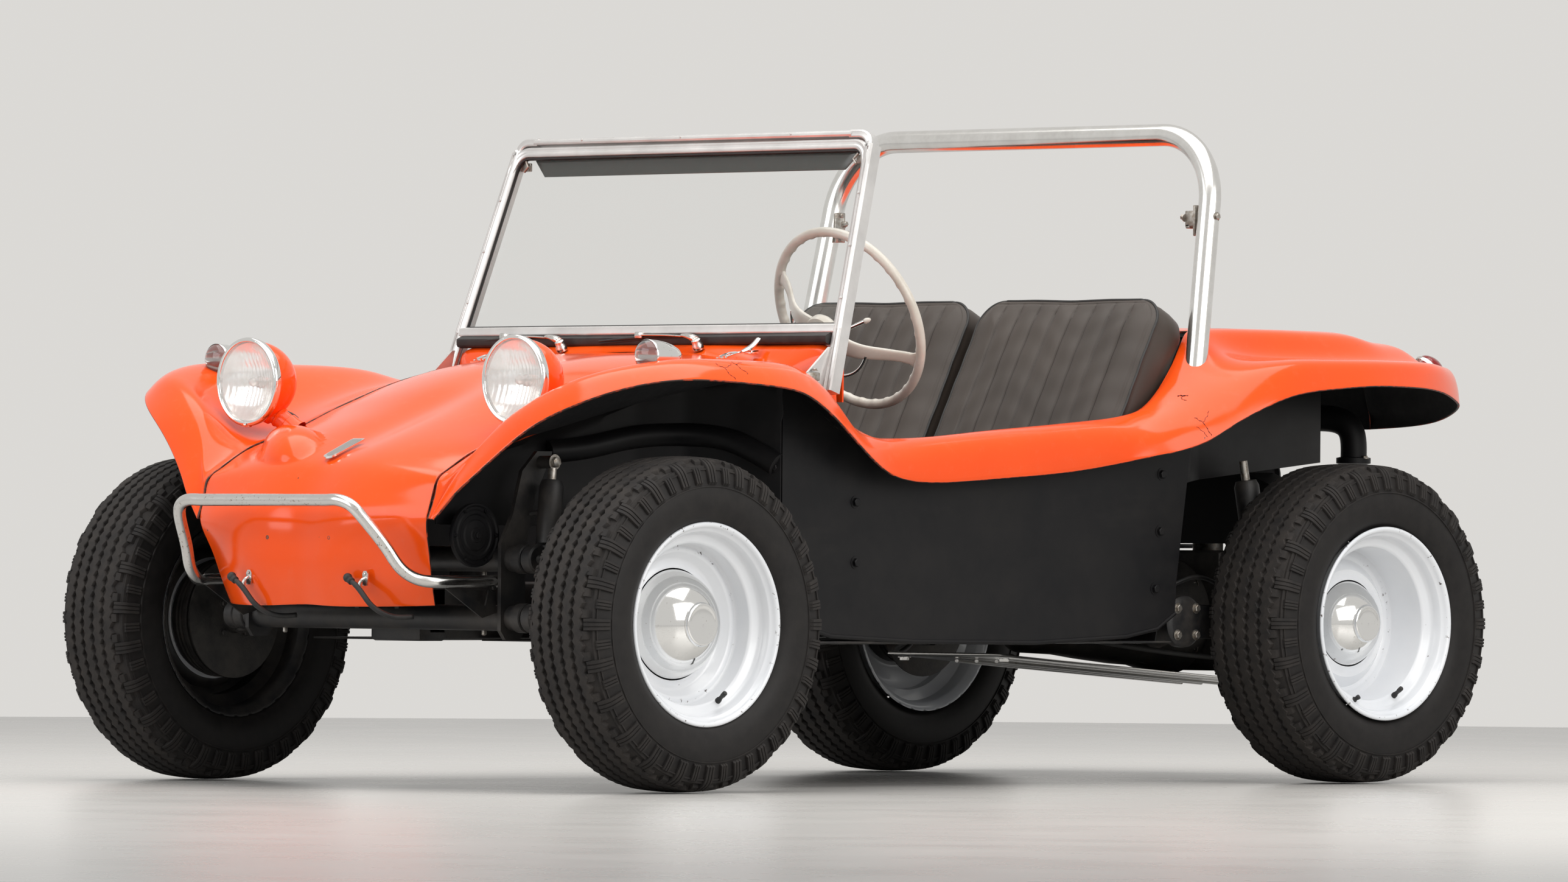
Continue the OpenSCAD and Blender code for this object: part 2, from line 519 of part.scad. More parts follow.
engine_y = 2204;
module engine() color(black) at_front_axle() {
    translate([-200, engine_y, 235]) cube([400, 285, 290]);
    both_sides() translate([200, engine_y + 50, 380]) cube([190, 235, 130]);
    // Fan shroud
    translate([-330, engine_y + 40, 510]) cube([660, 90, 130]);
    translate([0, engine_y + 130, 690]) rotate([90, 0, 0]) cylinder(h = 90, r = 165);
    translate([0, engine_y + 190, 660]) rotate([90, 0, 0]) cylinder(h = 60, r = 55);
    translate([0, engine_y + 315, 472]) rotate([90, 0, 0]) cylinder(h = 40, r = 85);
    // Intake pipe behind the left wheel
    bent_bar([[150, engine_y + 120, 780], [215, 2420, 788], [268, 2450, 786], [300, 2464, 764],
              [306, 2468, 696]], 58);
    bar([306, 2468, 690], [306, 2468, 704], 76);
}

module exhaust() color(black) at_front_axle() {
    bar([-330, 2560, 330], [330, 2560, 330], 120);
    for (x = [-110, 110]) bar([x, 2560, 320], [x, 2700, 305], 44);
    both_sides() bent_bar([[318, 2440, 378], [318, 2440, 352], [318, 2490, 332], [318, 2530, 330]], 40);
}

module skid_plate() color([0.3, 0.3, 0.3]) at_front_axle() rotate([90, 0, 90])
    translate([0, 0, -170]) linear_extrude(340)
        polygon([[1500, 268], [1560, 262], [2330, 207], [2560, 207], [2600, 240], [2596, 244],
                 [2558, 212], [2330, 212], [1560, 267], [1500, 273]]);

// ---- roll bar, windshield ----

roll_top = 1388;
roll_y = 1750;
roll_lean = 10.8;
roll_half = 567;
bend_r = 165;
roll_leg = 540;
module roll_bar() color(steel) at_front_axle() {
    translate([0, roll_y, roll_top]) rotate([-roll_lean, 0, 0]) {
        bar([-(roll_half - bend_r), 0, 0], [roll_half - bend_r, 0, 0], roll_bar_d);
        both_sides() translate([roll_half - bend_r, 0, -bend_r])
            bent_bar(concat([for (a = [90 : -15 : 0]) bend_r * [cos(a), 0, sin(a)]],
                            [[bend_r + 16, 0, -180], [bend_r + 27, 0, bend_r - roll_leg]]),
                     roll_bar_d, 2, 24);
    }
    // Harness brackets on the inner sides of the legs
    both_sides() translate([530, 1716, 1236]) difference() {
        translate([-16, -3, -26]) cube([36, 6, 52]);
        rotate([90, 0, 0]) cylinder(h = 20, d = 11, center = true, $fn = 32);
    }
}

// Windshield's posts, at the left side: bottom and top ends
post_low = [576, 557, 818];
post_high = [519, 724, 1361];
rail_low = [559, 601, 955];
post_dir = unit(post_high - post_low);
pane = 5;
module leaning_plate(low, high, thick) {
    n = unit(cross(X, [0, high[1] - low[1], high[2] - low[2]])) * thick / 2;
    polyhedron([for (s = [-1, 1]) each [[-low[0], low[1], low[2]] + s * n, low + s * n,
                high + s * n, [-high[0], high[1], high[2]] + s * n]],
               [[0, 1, 2, 3], [7, 6, 5, 4], [0, 4, 5, 1], [1, 5, 6, 2], [2, 6, 7, 3], [3, 7, 4, 0]]);
}
module post_box(a, b, w, t) {
    v = b - a;
    translate(a) rotate([0, acos(v[2] / norm(v)), atan2(v[1], v[0])]) rotate([0, 0, -atan2(v[1], v[0])])
        translate([-w / 2, -t / 2, 0]) cube([w, t, norm(v)]);
}
module windshield_frame() color(steel) at_front_axle() {
    both_sides() {
        post_box(post_low, post_high, 26, 30);
        // Gusset in front of the post's foot
        translate([568, 0, 0]) rotate([90, 0, 90]) linear_extrude(6)
            polygon([[560, 822], [590, 900], [566, 900], [490, 836], [505, 822]]);
    }
    bar([-post_high[0], post_high[1], post_high[2] - 12], [post_high[0], post_high[1], post_high[2] - 12], 26);
    bar([-rail_low[0], rail_low[1], rail_low[2]], [rail_low[0], rail_low[1], rail_low[2]], 26);
    // Rubber seal between the frame and the cowl
    color(black) translate([-545, 588, 926]) cube([1090, 22, 18]);
}
module windshield_glass() color([0.8, 0.9, 0.9, 0.3]) at_front_axle()
    leaning_plate([rail_low[0] - 18, rail_low[1] + 5, rail_low[2] + 14],
                  [post_high[0] - 12, post_high[1] - 8, post_high[2] - 26], pane);

module sun_visor() color([0.15, 0.14, 0.13]) at_front_axle()
    leaning_plate([455, 718, 1282], [500, 728, 1324], 4);

module wipers() color(steel) at_front_axle() for (x = [-216, 196]) {
    bar([x, 566, 912], [x, 556, 936], 20);
    bar([x, 556, 932], [x - 188, 573, 944], 8);
    bar([x - 320, 576, 938], [x - 44, 576, 948], 6);
}

// ---- cockpit ----

column_dir = [0, cos(column_tilt), sin(column_tilt)];
wheel_centre = [seat_x, 901, 980];
module dashboard() color(orange) at_front_axle() difference() {
    translate([-540, 642, 800]) cube([1080, 5, 112]);
    translate(wheel_centre - column_dir * 280) rotate([90 - column_tilt, 0, 0])
        cylinder(h = 60, d = 62, center = true);
}

module steering_column() color(black) at_front_axle()
    bar(wheel_centre - column_dir * 560, wheel_centre - column_dir * 60, 42);

module steering_wheel() color("ivory") at_front_axle() translate(wheel_centre)
    rotate([-90 + column_tilt, 0, 0]) {
        rotate_extrude($fn = 96) translate([wheel_d / 2 - 11, 0]) circle(d = 22);
        translate([0, 0, -46]) cylinder(h = 60, d1 = 60, d2 = 80);
        rotate([0, 0, 31]) for (s = [-1, 1]) bar([0, 0, -16], [s * (wheel_d / 2 - 12), 0, 0], 18);
        translate([0, 0, -58]) cylinder(h = 13, d = 40);
    }

module cabin_controls() color(black) at_front_axle() {
    // Gear lever and handbrake on the spine
    translate([0, 1010, tunnel_top]) cylinder(h = 20, d1 = 60, d2 = 36);
    bent_bar([[0, 1010, 436], [0, 985, 560], [0, 1010, 660]], 12);
    translate([0, 1010, 668]) sphere(d = 42);
    bent_bar([[0, 1120, 424], [0, 1090, 480], [0, 900, 540]], 16);
    // Pedals hinged on the floor
    for (x = [190, 270, 370]) {
        bar([x, 600, floor_z + 10], [x, 640, 440], 14);
        translate([x - 24, 634, 440]) rotate([-20, 0, 0]) cube([48, 8, 60]);
    }
    bar([170, 600, floor_z + 12], [390, 600, floor_z + 12], 18);
}

seat_lean = 23;
seat_back_y = 1440;
module seat_bases() color([0.2, 0.19, 0.18]) at_front_axle() both_sides()
    translate([tunnel_w / 2 + 6, 960, floor_z + 40]) rotate([5, 0, 0])
        cube([seat_x + seat_w / 2 - tunnel_w / 2 - 12, 450, 170]);

module seat_backs() color([0.2, 0.19, 0.18]) at_front_axle() both_sides()
    translate([seat_x, seat_back_y - 55, 560]) rotate([-seat_lean, 0, 0]) rotate([90, 0, 0])
        translate([0, 0, -125]) linear_extrude(120) polygon([[-250, 0], [250, 0], [252, 330],
            [236, 430], [200, 478], [120, 488], [-120, 488], [-200, 478], [-236, 430], [-252, 330]]);

floor_pan();
tub_sides();
inner_wings();
rear_bulkhead();
front_fenders();
cowl();
sills();
rear_fenders();
rear_deck();
hood();
headlights();
turn_signals();
tail_lamps();
front_bumper();
horn();
front_beam();
front_suspension();
knuckle_left();
knuckle_right();
rear_axle();
rear_suspension();
engine();
exhaust();
skid_plate();
roll_bar();
windshield_frame();
windshield_glass();
sun_visor();
wipers();
dashboard();
steering_column();
steering_wheel();
cabin_controls();
seat_bases();
seat_backs();
tyre_fl();
rim_fl();
cap_fl();
tyre_fr();
rim_fr();
cap_fr();
tyre_rl();
rim_rl();
cap_rl();
tyre_rr();
rim_rr();
cap_rr();
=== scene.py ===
import math

import bmesh
import bpy
import numpy as np
from mathutils import Matrix, Vector


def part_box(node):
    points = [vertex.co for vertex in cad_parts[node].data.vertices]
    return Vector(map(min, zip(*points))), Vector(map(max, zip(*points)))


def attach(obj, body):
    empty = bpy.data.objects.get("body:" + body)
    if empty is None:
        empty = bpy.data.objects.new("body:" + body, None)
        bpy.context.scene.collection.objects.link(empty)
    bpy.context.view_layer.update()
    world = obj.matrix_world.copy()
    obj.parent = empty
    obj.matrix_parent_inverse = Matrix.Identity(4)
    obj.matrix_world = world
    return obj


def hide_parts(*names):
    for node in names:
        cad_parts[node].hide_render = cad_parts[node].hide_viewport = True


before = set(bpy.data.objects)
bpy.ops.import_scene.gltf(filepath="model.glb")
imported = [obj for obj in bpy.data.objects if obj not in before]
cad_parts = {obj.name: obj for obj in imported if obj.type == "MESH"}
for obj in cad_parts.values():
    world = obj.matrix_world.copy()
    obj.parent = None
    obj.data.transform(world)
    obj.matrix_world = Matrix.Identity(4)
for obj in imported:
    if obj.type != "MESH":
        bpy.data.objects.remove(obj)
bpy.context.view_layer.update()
MM = 0.001

# Places worked out from the frame, in millimetres ahead of scaling: the front axle's place along
# the car, and the two wheels' middles.
tyre_low, tyre_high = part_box("tyre_fl")
AXLE_Y = (tyre_low.y + tyre_high.y) / 2 / MM
FRONT_WHEEL = Vector(((tyre_low.x + tyre_high.x) / 2, AXLE_Y * MM, (tyre_low.z + tyre_high.z) / 2)) / MM
tyre_low, tyre_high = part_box("tyre_rl")
REAR_WHEEL = (tyre_low + tyre_high) / 2 / MM
FRONT_R = FRONT_WHEEL.z
REAR_R = REAR_WHEEL.z
WHEELBASE = REAR_WHEEL.y - AXLE_Y


# ---- meshes ----
# Shapes are written in millimetres from the middle of the front axle at floor level, as in the
# part's source, and placed in the frame by finish_mesh.

def finish_mesh(name, verts, faces, body, mats, smooth=True, sharp=None):
    """A mesh piece from points in millimetres, riding on a body."""
    mesh = bpy.data.meshes.new(name)
    points = np.asarray(verts, float).reshape(-1, 3) + (0, AXLE_Y, 0)
    mesh.from_pydata((points * MM).tolist(), [], [list(f) for f in faces])
    mesh.validate()
    piece = bpy.data.objects.new(name, mesh)
    bpy.context.scene.collection.objects.link(piece)
    for mat in mats if isinstance(mats, (list, tuple)) else [mats]:
        mesh.materials.append(mat)
    if smooth:
        mesh.shade_smooth()
    if sharp:
        mesh.set_sharp_from_angle(angle=math.radians(sharp))
    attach(piece, body)
    return piece


def fix_normals(piece):
    bm = bmesh.new()
    bm.from_mesh(piece.data)
    bmesh.ops.remove_doubles(bm, verts=bm.verts, dist=1e-6)
    bmesh.ops.recalc_face_normals(bm, faces=bm.faces)
    bm.to_mesh(piece.data)
    bm.free()
    return piece


class Shape:
    """Points and faces gathered from simple shapes, then made into one piece."""

    def __init__(self):
        self.verts = []
        self.faces = []
        self.mats = []
        self.mat = 0

    def add(self, verts, faces):
        start = len(self.verts)
        self.verts.extend([tuple(v) for v in verts])
        self.faces.extend([tuple(i + start for i in f) for f in faces])
        self.mats.extend([self.mat] * len(faces))
        return self

    def grid(self, g, close_u=False, close_v=False, flip=False):
        g = np.asarray(g, float)
        m, n = g.shape[:2]
        faces = []
        for i in range(m if close_u else m - 1):
            for j in range(n if close_v else n - 1):
                a, b = (i + 1) % m, (j + 1) % n
                f = (i * n + j, i * n + b, a * n + b, a * n + j)
                faces.append(f[::-1] if flip else f)
        return self.add(g.reshape(-1, 3), faces)

    def turned(self, profile, centre, axis=(0, 0, 1), steps=48, closed=False):
        """A profile of (radius, height) turned about an axis through centre."""
        axis = Vector(axis).normalized()
        side = axis.orthogonal().normalized()
        other = axis.cross(side)
        c = Vector(centre)
        rows = []
        for r, h in profile:
            rows.append([c + axis * h + (side * math.cos(a) + other * math.sin(a)) * r
                         for a in np.linspace(0, 2 * math.pi, steps, endpoint=False)])
        return self.grid(rows, close_u=closed, close_v=True)

    def tube(self, path, r, sides=16, closed=False, caps=True, flat=1.0):
        """A tube along a path; r is one radius or one for each point."""
        p = np.asarray([tuple(q) for q in path], float)
        n = len(p)
        radii = np.full(n, r, float) if np.isscalar(r) else np.asarray(r, float)
        if closed:
            t = np.roll(p, -1, 0) - np.roll(p, 1, 0)
        else:
            t = np.gradient(p, axis=0)
        t /= np.linalg.norm(t, axis=1)[:, None]
        u = np.cross(t[0], (0, 0, 1) if abs(t[0][2]) < 0.9 else (1, 0, 0))
        rings = []
        for k in range(n):
            u = u - t[k] * (u @ t[k])
            u /= np.linalg.norm(u)
            v = np.cross(t[k], u)
            a = np.linspace(0, 2 * math.pi, sides, endpoint=False)[:, None]
            rings.append(p[k] + radii[k] * (u * np.cos(a) + v * flat * np.sin(a)))
        self.grid(rings, close_u=closed, close_v=True)
        if caps and not closed:
            start = len(self.verts) - n * sides
            self.add([], [])
            self.faces.append(tuple(start + i for i in range(sides))[::-1])
            self.faces.append(tuple(start + (n - 1) * sides + i for i in range(sides)))
            self.mats.extend([self.mat] * 2)
        return self

    def ball(self, centre, r, squash=(1, 1, 1), steps=20):
        rows = [[(centre[0] + squash[0] * r * math.sin(b) * math.cos(a),
                  centre[1] + squash[1] * r * math.sin(b) * math.sin(a),
                  centre[2] + squash[2] * r * math.cos(b))
                 for a in np.linspace(0, 2 * math.pi, steps, endpoint=False)]
                for b in np.linspace(0.02, math.pi - 0.02, steps // 2 + 2)]
        return self.grid(rows, close_v=True)

    def block(self, centre, size, turn=None, bevel=0.0):
        """A box with its corners cut by bevel, turned by a 3 by 3 matrix."""
        half = np.asarray(size, float) / 2
        pts, faces = [], []
        bm = bmesh.new()
        bmesh.ops.create_cube(bm, size=1)
        for v in bm.verts:
            v.co = Vector((v.co.x * 2 * half[0], v.co.y * 2 * half[1], v.co.z * 2 * half[2]))
        if bevel:
            bmesh.ops.bevel(bm, geom=list(bm.edges), offset=bevel, segments=2, affect="EDGES",
                            profile=0.5)
        bm.verts.index_update()
        rot = Matrix.Identity(3) if turn is None else Matrix(turn)
        pts = [rot @ v.co + Vector(centre) for v in bm.verts]
        faces = [[v.index for v in f.verts] for f in bm.faces]
        bm.free()
        return self.add(pts, faces)

    def bolt(self, centre, axis, r=7, h=5, washer=True):
        """A hexagon bolt head on a round washer."""
        axis = Vector(axis).normalized()
        c = Vector(centre)
        if washer:
            self.turned([(0, 0), (r * 1.45, 0), (r * 1.45, 1.2), (0, 1.6)], c, axis, 20)
        side = axis.orthogonal().normalized()
        other = axis.cross(side)
        rows = [[c + axis * z + (side * math.cos(a) + other * math.sin(a)) * q
                 for a in np.linspace(0, 2 * math.pi, 6, endpoint=False)]
                for q, z in ((r, 1), (r, h), (r * 0.82, h + 1), (0.01, h + 1))]
        return self.grid(rows, close_v=True)

    def plate(self, outline, origin, u, v, thick):
        """A flat plate from an outline in the plane of u and v, thick along u cross v."""
        u, v, o = Vector(u), Vector(v), Vector(origin)
        n = u.cross(v).normalized() * thick
        low = [o + u * a + v * b for a, b in outline]
        high = [p + n for p in low]
        k = len(low)
        faces = [tuple(range(k))[::-1], tuple(range(k, 2 * k))]
        faces += [(i, (i + 1) % k, k + (i + 1) % k, k + i) for i in range(k)]
        return self.add(low + high, faces)

    def mirrored(self):
        """Adds the mirror image across the car's middle."""
        n = len(self.verts)
        self.verts += [(-x, y, z) for x, y, z in self.verts]
        self.mats += list(self.mats)
        self.faces += [tuple(i + n for i in f)[::-1] for f in self.faces]
        return self

    def piece(self, name, body, slot, mats, smooth=True, sharp=40, normals=True):
        made = finish_mesh(name, self.verts, self.faces, body, mats, smooth)
        if len(made.data.polygons) == len(self.mats):
            made.data.polygons.foreach_set("material_index", self.mats)
        if normals:
            fix_normals(made)
        if sharp:
            made.data.set_sharp_from_angle(angle=math.radians(sharp))
        return made


def spline(points, steps):
    """A smooth curve through points: a natural cubic spline by length, steps between each pair."""
    p = np.asarray(points, float)
    n = len(p)
    if n < 3:
        return np.array([p[0] + (p[-1] - p[0]) * t for t in np.linspace(0, 1, steps + 1)])
    s = np.concatenate([[0], np.cumsum(np.maximum(np.linalg.norm(np.diff(p, axis=0), axis=1), 1e-6)
                                       ** 0.5)])
    h = np.diff(s)
    a = np.eye(n)
    b = np.zeros_like(p)
    for i in range(1, n - 1):
        a[i, i - 1:i + 2] = h[i - 1], 2 * (h[i - 1] + h[i]), h[i]
        b[i] = 6 * ((p[i + 1] - p[i]) / h[i] - (p[i] - p[i - 1]) / h[i - 1])
    m = np.linalg.solve(a, b)
    out = []
    for k in range(n - 1):
        for t in np.linspace(0, 1, steps, endpoint=False):
            x = t * h[k]
            y = h[k] - x
            out.append((m[k] * y ** 3 + m[k + 1] * x ** 3) / (6 * h[k])
                       + (p[k] / h[k] - m[k] * h[k] / 6) * y + (p[k + 1] / h[k] - m[k + 1] * h[k] / 6) * x)
    out.append(p[-1])
    return np.array(out)


def spline_grid(rows, along, across):
    """A smooth grid through rows of points."""
    fine = np.array([spline(r, across) for r in rows])
    return np.array([spline(fine[:, j], along) for j in range(fine.shape[1])]).transpose(1, 0, 2)


# ---- materials ----

class Nodes:
    """A short way to write a material's nodes."""

    def __init__(self, name):
        self.mat = bpy.data.materials.new(name)
        self.mat.use_nodes = True
        self.tree = self.mat.node_tree
        self.shader = self.tree.nodes["Principled BSDF"]
        self.coord = self.tree.nodes.new("ShaderNodeTexCoord").outputs["Object"]

    def new(self, kind, **values):
        node = self.tree.nodes.new("ShaderNode" + kind)
        for key, value in values.items():
            if key in node.inputs:
                if isinstance(value, bpy.types.NodeSocket):
                    self.tree.links.new(value, node.inputs[key])
                else:
                    node.inputs[key].default_value = value
            else:
                setattr(node, key, value)
        return node

    def noise(self, scale, detail=4, rough=0.55, coord=None, stretch=None):
        coord = coord or self.coord
        if stretch:
            coord = self.scaled(coord, stretch)
        return self.new("TexNoise", Vector=coord, Scale=scale, Detail=detail, Roughness=rough).outputs[0]

    def scaled(self, coord, scale):
        return self.new("Mapping", Vector=coord, Scale=scale).outputs[0]

    def ramp(self, value, low, high, invert=False):
        node = self.new("MapRange", clamp=True, Value=value)
        node.inputs["From Min"].default_value = low
        node.inputs["From Max"].default_value = high
        if invert:
            node.inputs["To Min"].default_value = 1.0
            node.inputs["To Max"].default_value = 0.0
        return node.outputs[0]

    def to_range(self, value, low, high):
        node = self.new("MapRange", Value=value)
        node.inputs["To Min"].default_value = low
        node.inputs["To Max"].default_value = high
        return node.outputs[0]

    def math(self, op, a, b=0.0, c=0.0):
        node = self.tree.nodes.new("ShaderNodeMath")
        node.operation = op
        for k, value in enumerate((a, b, c)):
            if isinstance(value, bpy.types.NodeSocket):
                self.tree.links.new(value, node.inputs[k])
            else:
                node.inputs[k].default_value = value
        return node.outputs[0]

    def mix(self, share, a, b):
        node = self.tree.nodes.new("ShaderNodeMix")
        node.data_type = "RGBA"
        for k, value in ((0, share), (6, a), (7, b)):
            if isinstance(value, bpy.types.NodeSocket):
                self.tree.links.new(value, node.inputs[k])
            else:
                node.inputs[k].default_value = value if k == 0 else (*value[:3], 1)
        return node.outputs[2]

    def axes(self, coord=None):
        return self.new("SeparateXYZ", Vector=coord or self.coord).outputs

    def bump(self, height, strength=0.3, distance=0.001):
        node = self.new("Bump", Height=height, Strength=strength, Distance=distance)
        self.tree.links.new(node.outputs[0], self.shader.inputs["Normal"])

    def set(self, **values):
        for key, value in values.items():
            socket = self.shader.inputs[key.replace("_", " ")]
            if isinstance(value, bpy.types.NodeSocket):
                self.tree.links.new(value, socket)
            elif socket.type == "RGBA":
                socket.default_value = (*value[:3], 1)
            else:
                socket.default_value = value
        return self.mat


def paint_material():
    """Orange gel coat: glossy, with a faint ripple, dust and a few pin chips."""
    n = Nodes("orange_gel_coat")
    broad = n.noise(2.2, 3)
    dust = n.noise(40, 6, 0.7)
    chips = n.math("MULTIPLY", n.ramp(n.noise(95, 2, 0.4), 0.765, 0.775),
                   n.ramp(n.noise(6, 2), 0.52, 0.62))
    shade = n.mix(n.ramp(broad, 0.3, 0.7), (0.84, 0.072, 0.004), (0.90, 0.088, 0.006))
    shade = n.mix(n.math("MULTIPLY", n.ramp(dust, 0.55, 0.8), 0.05), shade, (0.75, 0.45, 0.3))
    shade = n.mix(chips, shade, (0.10, 0.035, 0.015))
    n.bump(n.math("ADD", n.noise(7, 2), n.math("MULTIPLY", n.noise(260, 2), 0.004)), 0.05, 0.004)
    rough = n.to_range(dust, 0.10, 0.20)
    return n.set(Base_Color=shade, Roughness=rough, Specular_IOR_Level=0.38)


def black_paint_material():
    """Satin black over glass fibre: uneven, dusty, lightly scuffed."""
    n = Nodes("satin_black")
    dust = n.noise(9, 8, 0.65)
    streak = n.noise(3, 5, 0.6, stretch=(1, 0.5, 3))
    shade = n.mix(n.ramp(dust, 0.35, 0.8), (0.0055, 0.0055, 0.0065), (0.013, 0.012, 0.012))
    shade = n.mix(n.math("MULTIPLY", n.ramp(streak, 0.55, 0.8), 0.5), shade, (0.026, 0.023, 0.021))
    n.bump(n.math("ADD", n.noise(14, 4), n.math("MULTIPLY", n.noise(420, 3), 0.05)), 0.18, 0.003)
    return n.set(Base_Color=shade, Roughness=n.to_range(dust, 0.34, 0.60), Specular_IOR_Level=0.2)


def underside_material():
    """Fender undersides and the engine bay: matt black with road dust."""
    n = Nodes("underseal_black")
    grit = n.noise(60, 8, 0.7)
    dust = n.noise(5, 6, 0.65)
    shade = n.mix(n.ramp(dust, 0.45, 0.75), (0.008, 0.008, 0.009), (0.028, 0.026, 0.026))
    n.bump(grit, 0.35, 0.002)
    return n.set(Base_Color=shade, Roughness=n.to_range(grit, 0.5, 0.85), Specular_IOR_Level=0.3)


def frame_paint_material():
    """Chassis black: brushed on thick, oily in places, dusty on top."""
    n = Nodes("chassis_black")
    dust = n.noise(12, 7, 0.65)
    grit = n.noise(150, 5, 0.6)
    shade = n.mix(n.ramp(dust, 0.4, 0.75), (0.010, 0.010, 0.011), (0.050, 0.043, 0.037))
    n.bump(n.math("ADD", grit, n.noise(25, 3)), 0.25, 0.0012)
    return n.set(Base_Color=shade, Roughness=n.to_range(dust, 0.28, 0.68), Specular_IOR_Level=0.45)


def cast_material():
    """Cast and machined parts: dark grey, stained with oil and a little rust."""
    n = Nodes("oily_casting")
    stain = n.noise(14, 7, 0.65)
    grain = n.noise(220, 4, 0.6)
    shade = n.mix(n.ramp(stain, 0.35, 0.7), (0.030, 0.029, 0.029), (0.085, 0.078, 0.070))
    shade = n.mix(n.math("MULTIPLY", n.ramp(n.noise(9, 6), 0.6, 0.75), 0.6), shade, (0.09, 0.035, 0.016))
    n.bump(grain, 0.35, 0.0012)
    return n.set(Base_Color=shade, Roughness=n.to_range(stain, 0.38, 0.7), Metallic=0.55)


def chrome_material():
    """Chrome with hairline haze and tiny pits."""
    n = Nodes("chrome")
    haze = n.noise(30, 6, 0.6)
    pits = n.ramp(n.noise(320, 2, 0.4), 0.72, 0.76)
    shade = n.mix(pits, (0.78, 0.78, 0.77), (0.35, 0.30, 0.25))
    n.bump(n.noise(12, 2), 0.02, 0.002)
    return n.set(Base_Color=shade, Metallic=1.0, Roughness=n.to_range(haze, 0.05, 0.14))


def worn_chrome_material():
    """The bumper's and small fittings' chrome: duller, with brown freckles of rust."""
    n = Nodes("worn_chrome")
    haze = n.noise(24, 7, 0.65)
    freckles = n.math("MULTIPLY", n.ramp(n.noise(170, 4, 0.6), 0.60, 0.66), n.ramp(n.noise(7, 3), 0.42, 0.6))
    shade = n.mix(freckles, (0.66, 0.65, 0.63), (0.20, 0.13, 0.08))
    n.bump(freckles, 0.15, 0.0005)
    return n.set(Base_Color=shade, Metallic=1.0, Roughness=n.to_range(haze, 0.10, 0.30))


def polished_tube_material():
    """The roll bar's polished tube: bright, faintly scratched along its length."""
    n = Nodes("polished_tube")
    haze = n.noise(18, 6, 0.65)
    hair = n.noise(140, 3, 0.6, stretch=(1, 1, 0.05))
    shade = n.mix(n.ramp(haze, 0.35, 0.75), (0.80, 0.795, 0.78), (0.66, 0.65, 0.63))
    n.bump(hair, 0.05, 0.0004)
    return n.set(Base_Color=shade, Metallic=1.0, Roughness=n.to_range(haze, 0.13, 0.24))


def aluminium_material():
    """Bare aluminium channel: brushed along its length, with scratches and dull patches."""
    n = Nodes("dull_aluminium")
    brush = n.noise(55, 6, 0.7, stretch=(8, 3, 0.6))
    patch = n.noise(9, 5, 0.6)
    shade = n.mix(n.ramp(patch, 0.35, 0.7), (0.60, 0.59, 0.58), (0.74, 0.73, 0.72))
    n.bump(brush, 0.12, 0.0005)
    return n.set(Base_Color=shade, Metallic=0.85, Roughness=n.to_range(brush, 0.24, 0.46))


def white_paint_material():
    """White wheel enamel, chipped to rusty steel at the rim's edge and in scattered spots."""
    n = Nodes("white_wheel_enamel")
    blotch = n.noise(5, 5, 0.6)
    edge_noise = n.noise(85, 6, 0.7)
    spot = n.math("MULTIPLY", n.ramp(n.noise(42, 3, 0.5), 0.75, 0.765), n.ramp(n.noise(9, 2), 0.45, 0.55))
    worn = n.new("Attribute", attribute_name="wear").outputs["Fac"]
    edge = n.math("MULTIPLY", n.ramp(edge_noise, 0.62, 0.64), worn)
    chip = n.math("MAXIMUM", spot, edge)
    shade = n.mix(n.ramp(blotch, 0.3, 0.7), (0.80, 0.81, 0.83), (0.74, 0.76, 0.79))
    shade = n.mix(chip, shade, (0.055, 0.035, 0.028))
    n.bump(n.math("SUBTRACT", 1.0, chip), 0.25, 0.0006)
    return n.set(Base_Color=shade, Roughness=n.math("MULTIPLY_ADD", chip, 0.4, 0.22), Coat_Weight=0.35,
                 Coat_Roughness=0.08)


def rubber_material():
    """Tyre rubber: dark on the wall, browner and dusty on the tread and shoulders."""
    n = Nodes("tyre_rubber")
    worn = n.new("Attribute", attribute_name="wear").outputs["Fac"]
    dust = n.noise(28, 8, 0.7)
    fine = n.noise(350, 3, 0.6)
    wall = n.mix(n.ramp(dust, 0.35, 0.75), (0.009, 0.008, 0.008), (0.018, 0.016, 0.015))
    tread = n.mix(n.ramp(dust, 0.30, 0.72), (0.016, 0.015, 0.015), (0.042, 0.036, 0.032))
    shade = n.mix(worn, wall, tread)
    n.bump(n.math("ADD", fine, dust), 0.12, 0.0008)
    return n.set(Base_Color=shade, Roughness=n.math("MULTIPLY_ADD", worn, 0.25, n.to_range(dust, 0.42, 0.62)),
                 Specular_IOR_Level=0.22)


def vinyl_material():
    """Black-brown seat vinyl with a fine leather grain."""
    n = Nodes("seat_vinyl")
    grain = n.new("TexVoronoi", Vector=n.coord, Scale=900.0).outputs["Distance"]
    crease = n.noise(22, 6, 0.6)
    fade = n.noise(4, 4, 0.55)
    shade = n.mix(n.ramp(fade, 0.3, 0.7), (0.030, 0.022, 0.017), (0.050, 0.038, 0.030))
    height = n.math("MULTIPLY_ADD", grain, 0.4, crease)
    n.bump(height, 0.22, 0.0009)
    return n.set(Base_Color=shade, Roughness=n.to_range(crease, 0.40, 0.58), Specular_IOR_Level=0.42,
                 Sheen_Weight=0.08, Sheen_Roughness=0.4)


def black_rubber_material():
    n = Nodes("black_rubber")
    dust = n.noise(30, 6, 0.6)
    shade = n.mix(n.ramp(dust, 0.4, 0.8), (0.011, 0.011, 0.011), (0.034, 0.031, 0.029))
    n.bump(dust, 0.15, 0.0008)
    return n.set(Base_Color=shade, Roughness=n.to_range(dust, 0.45, 0.7))


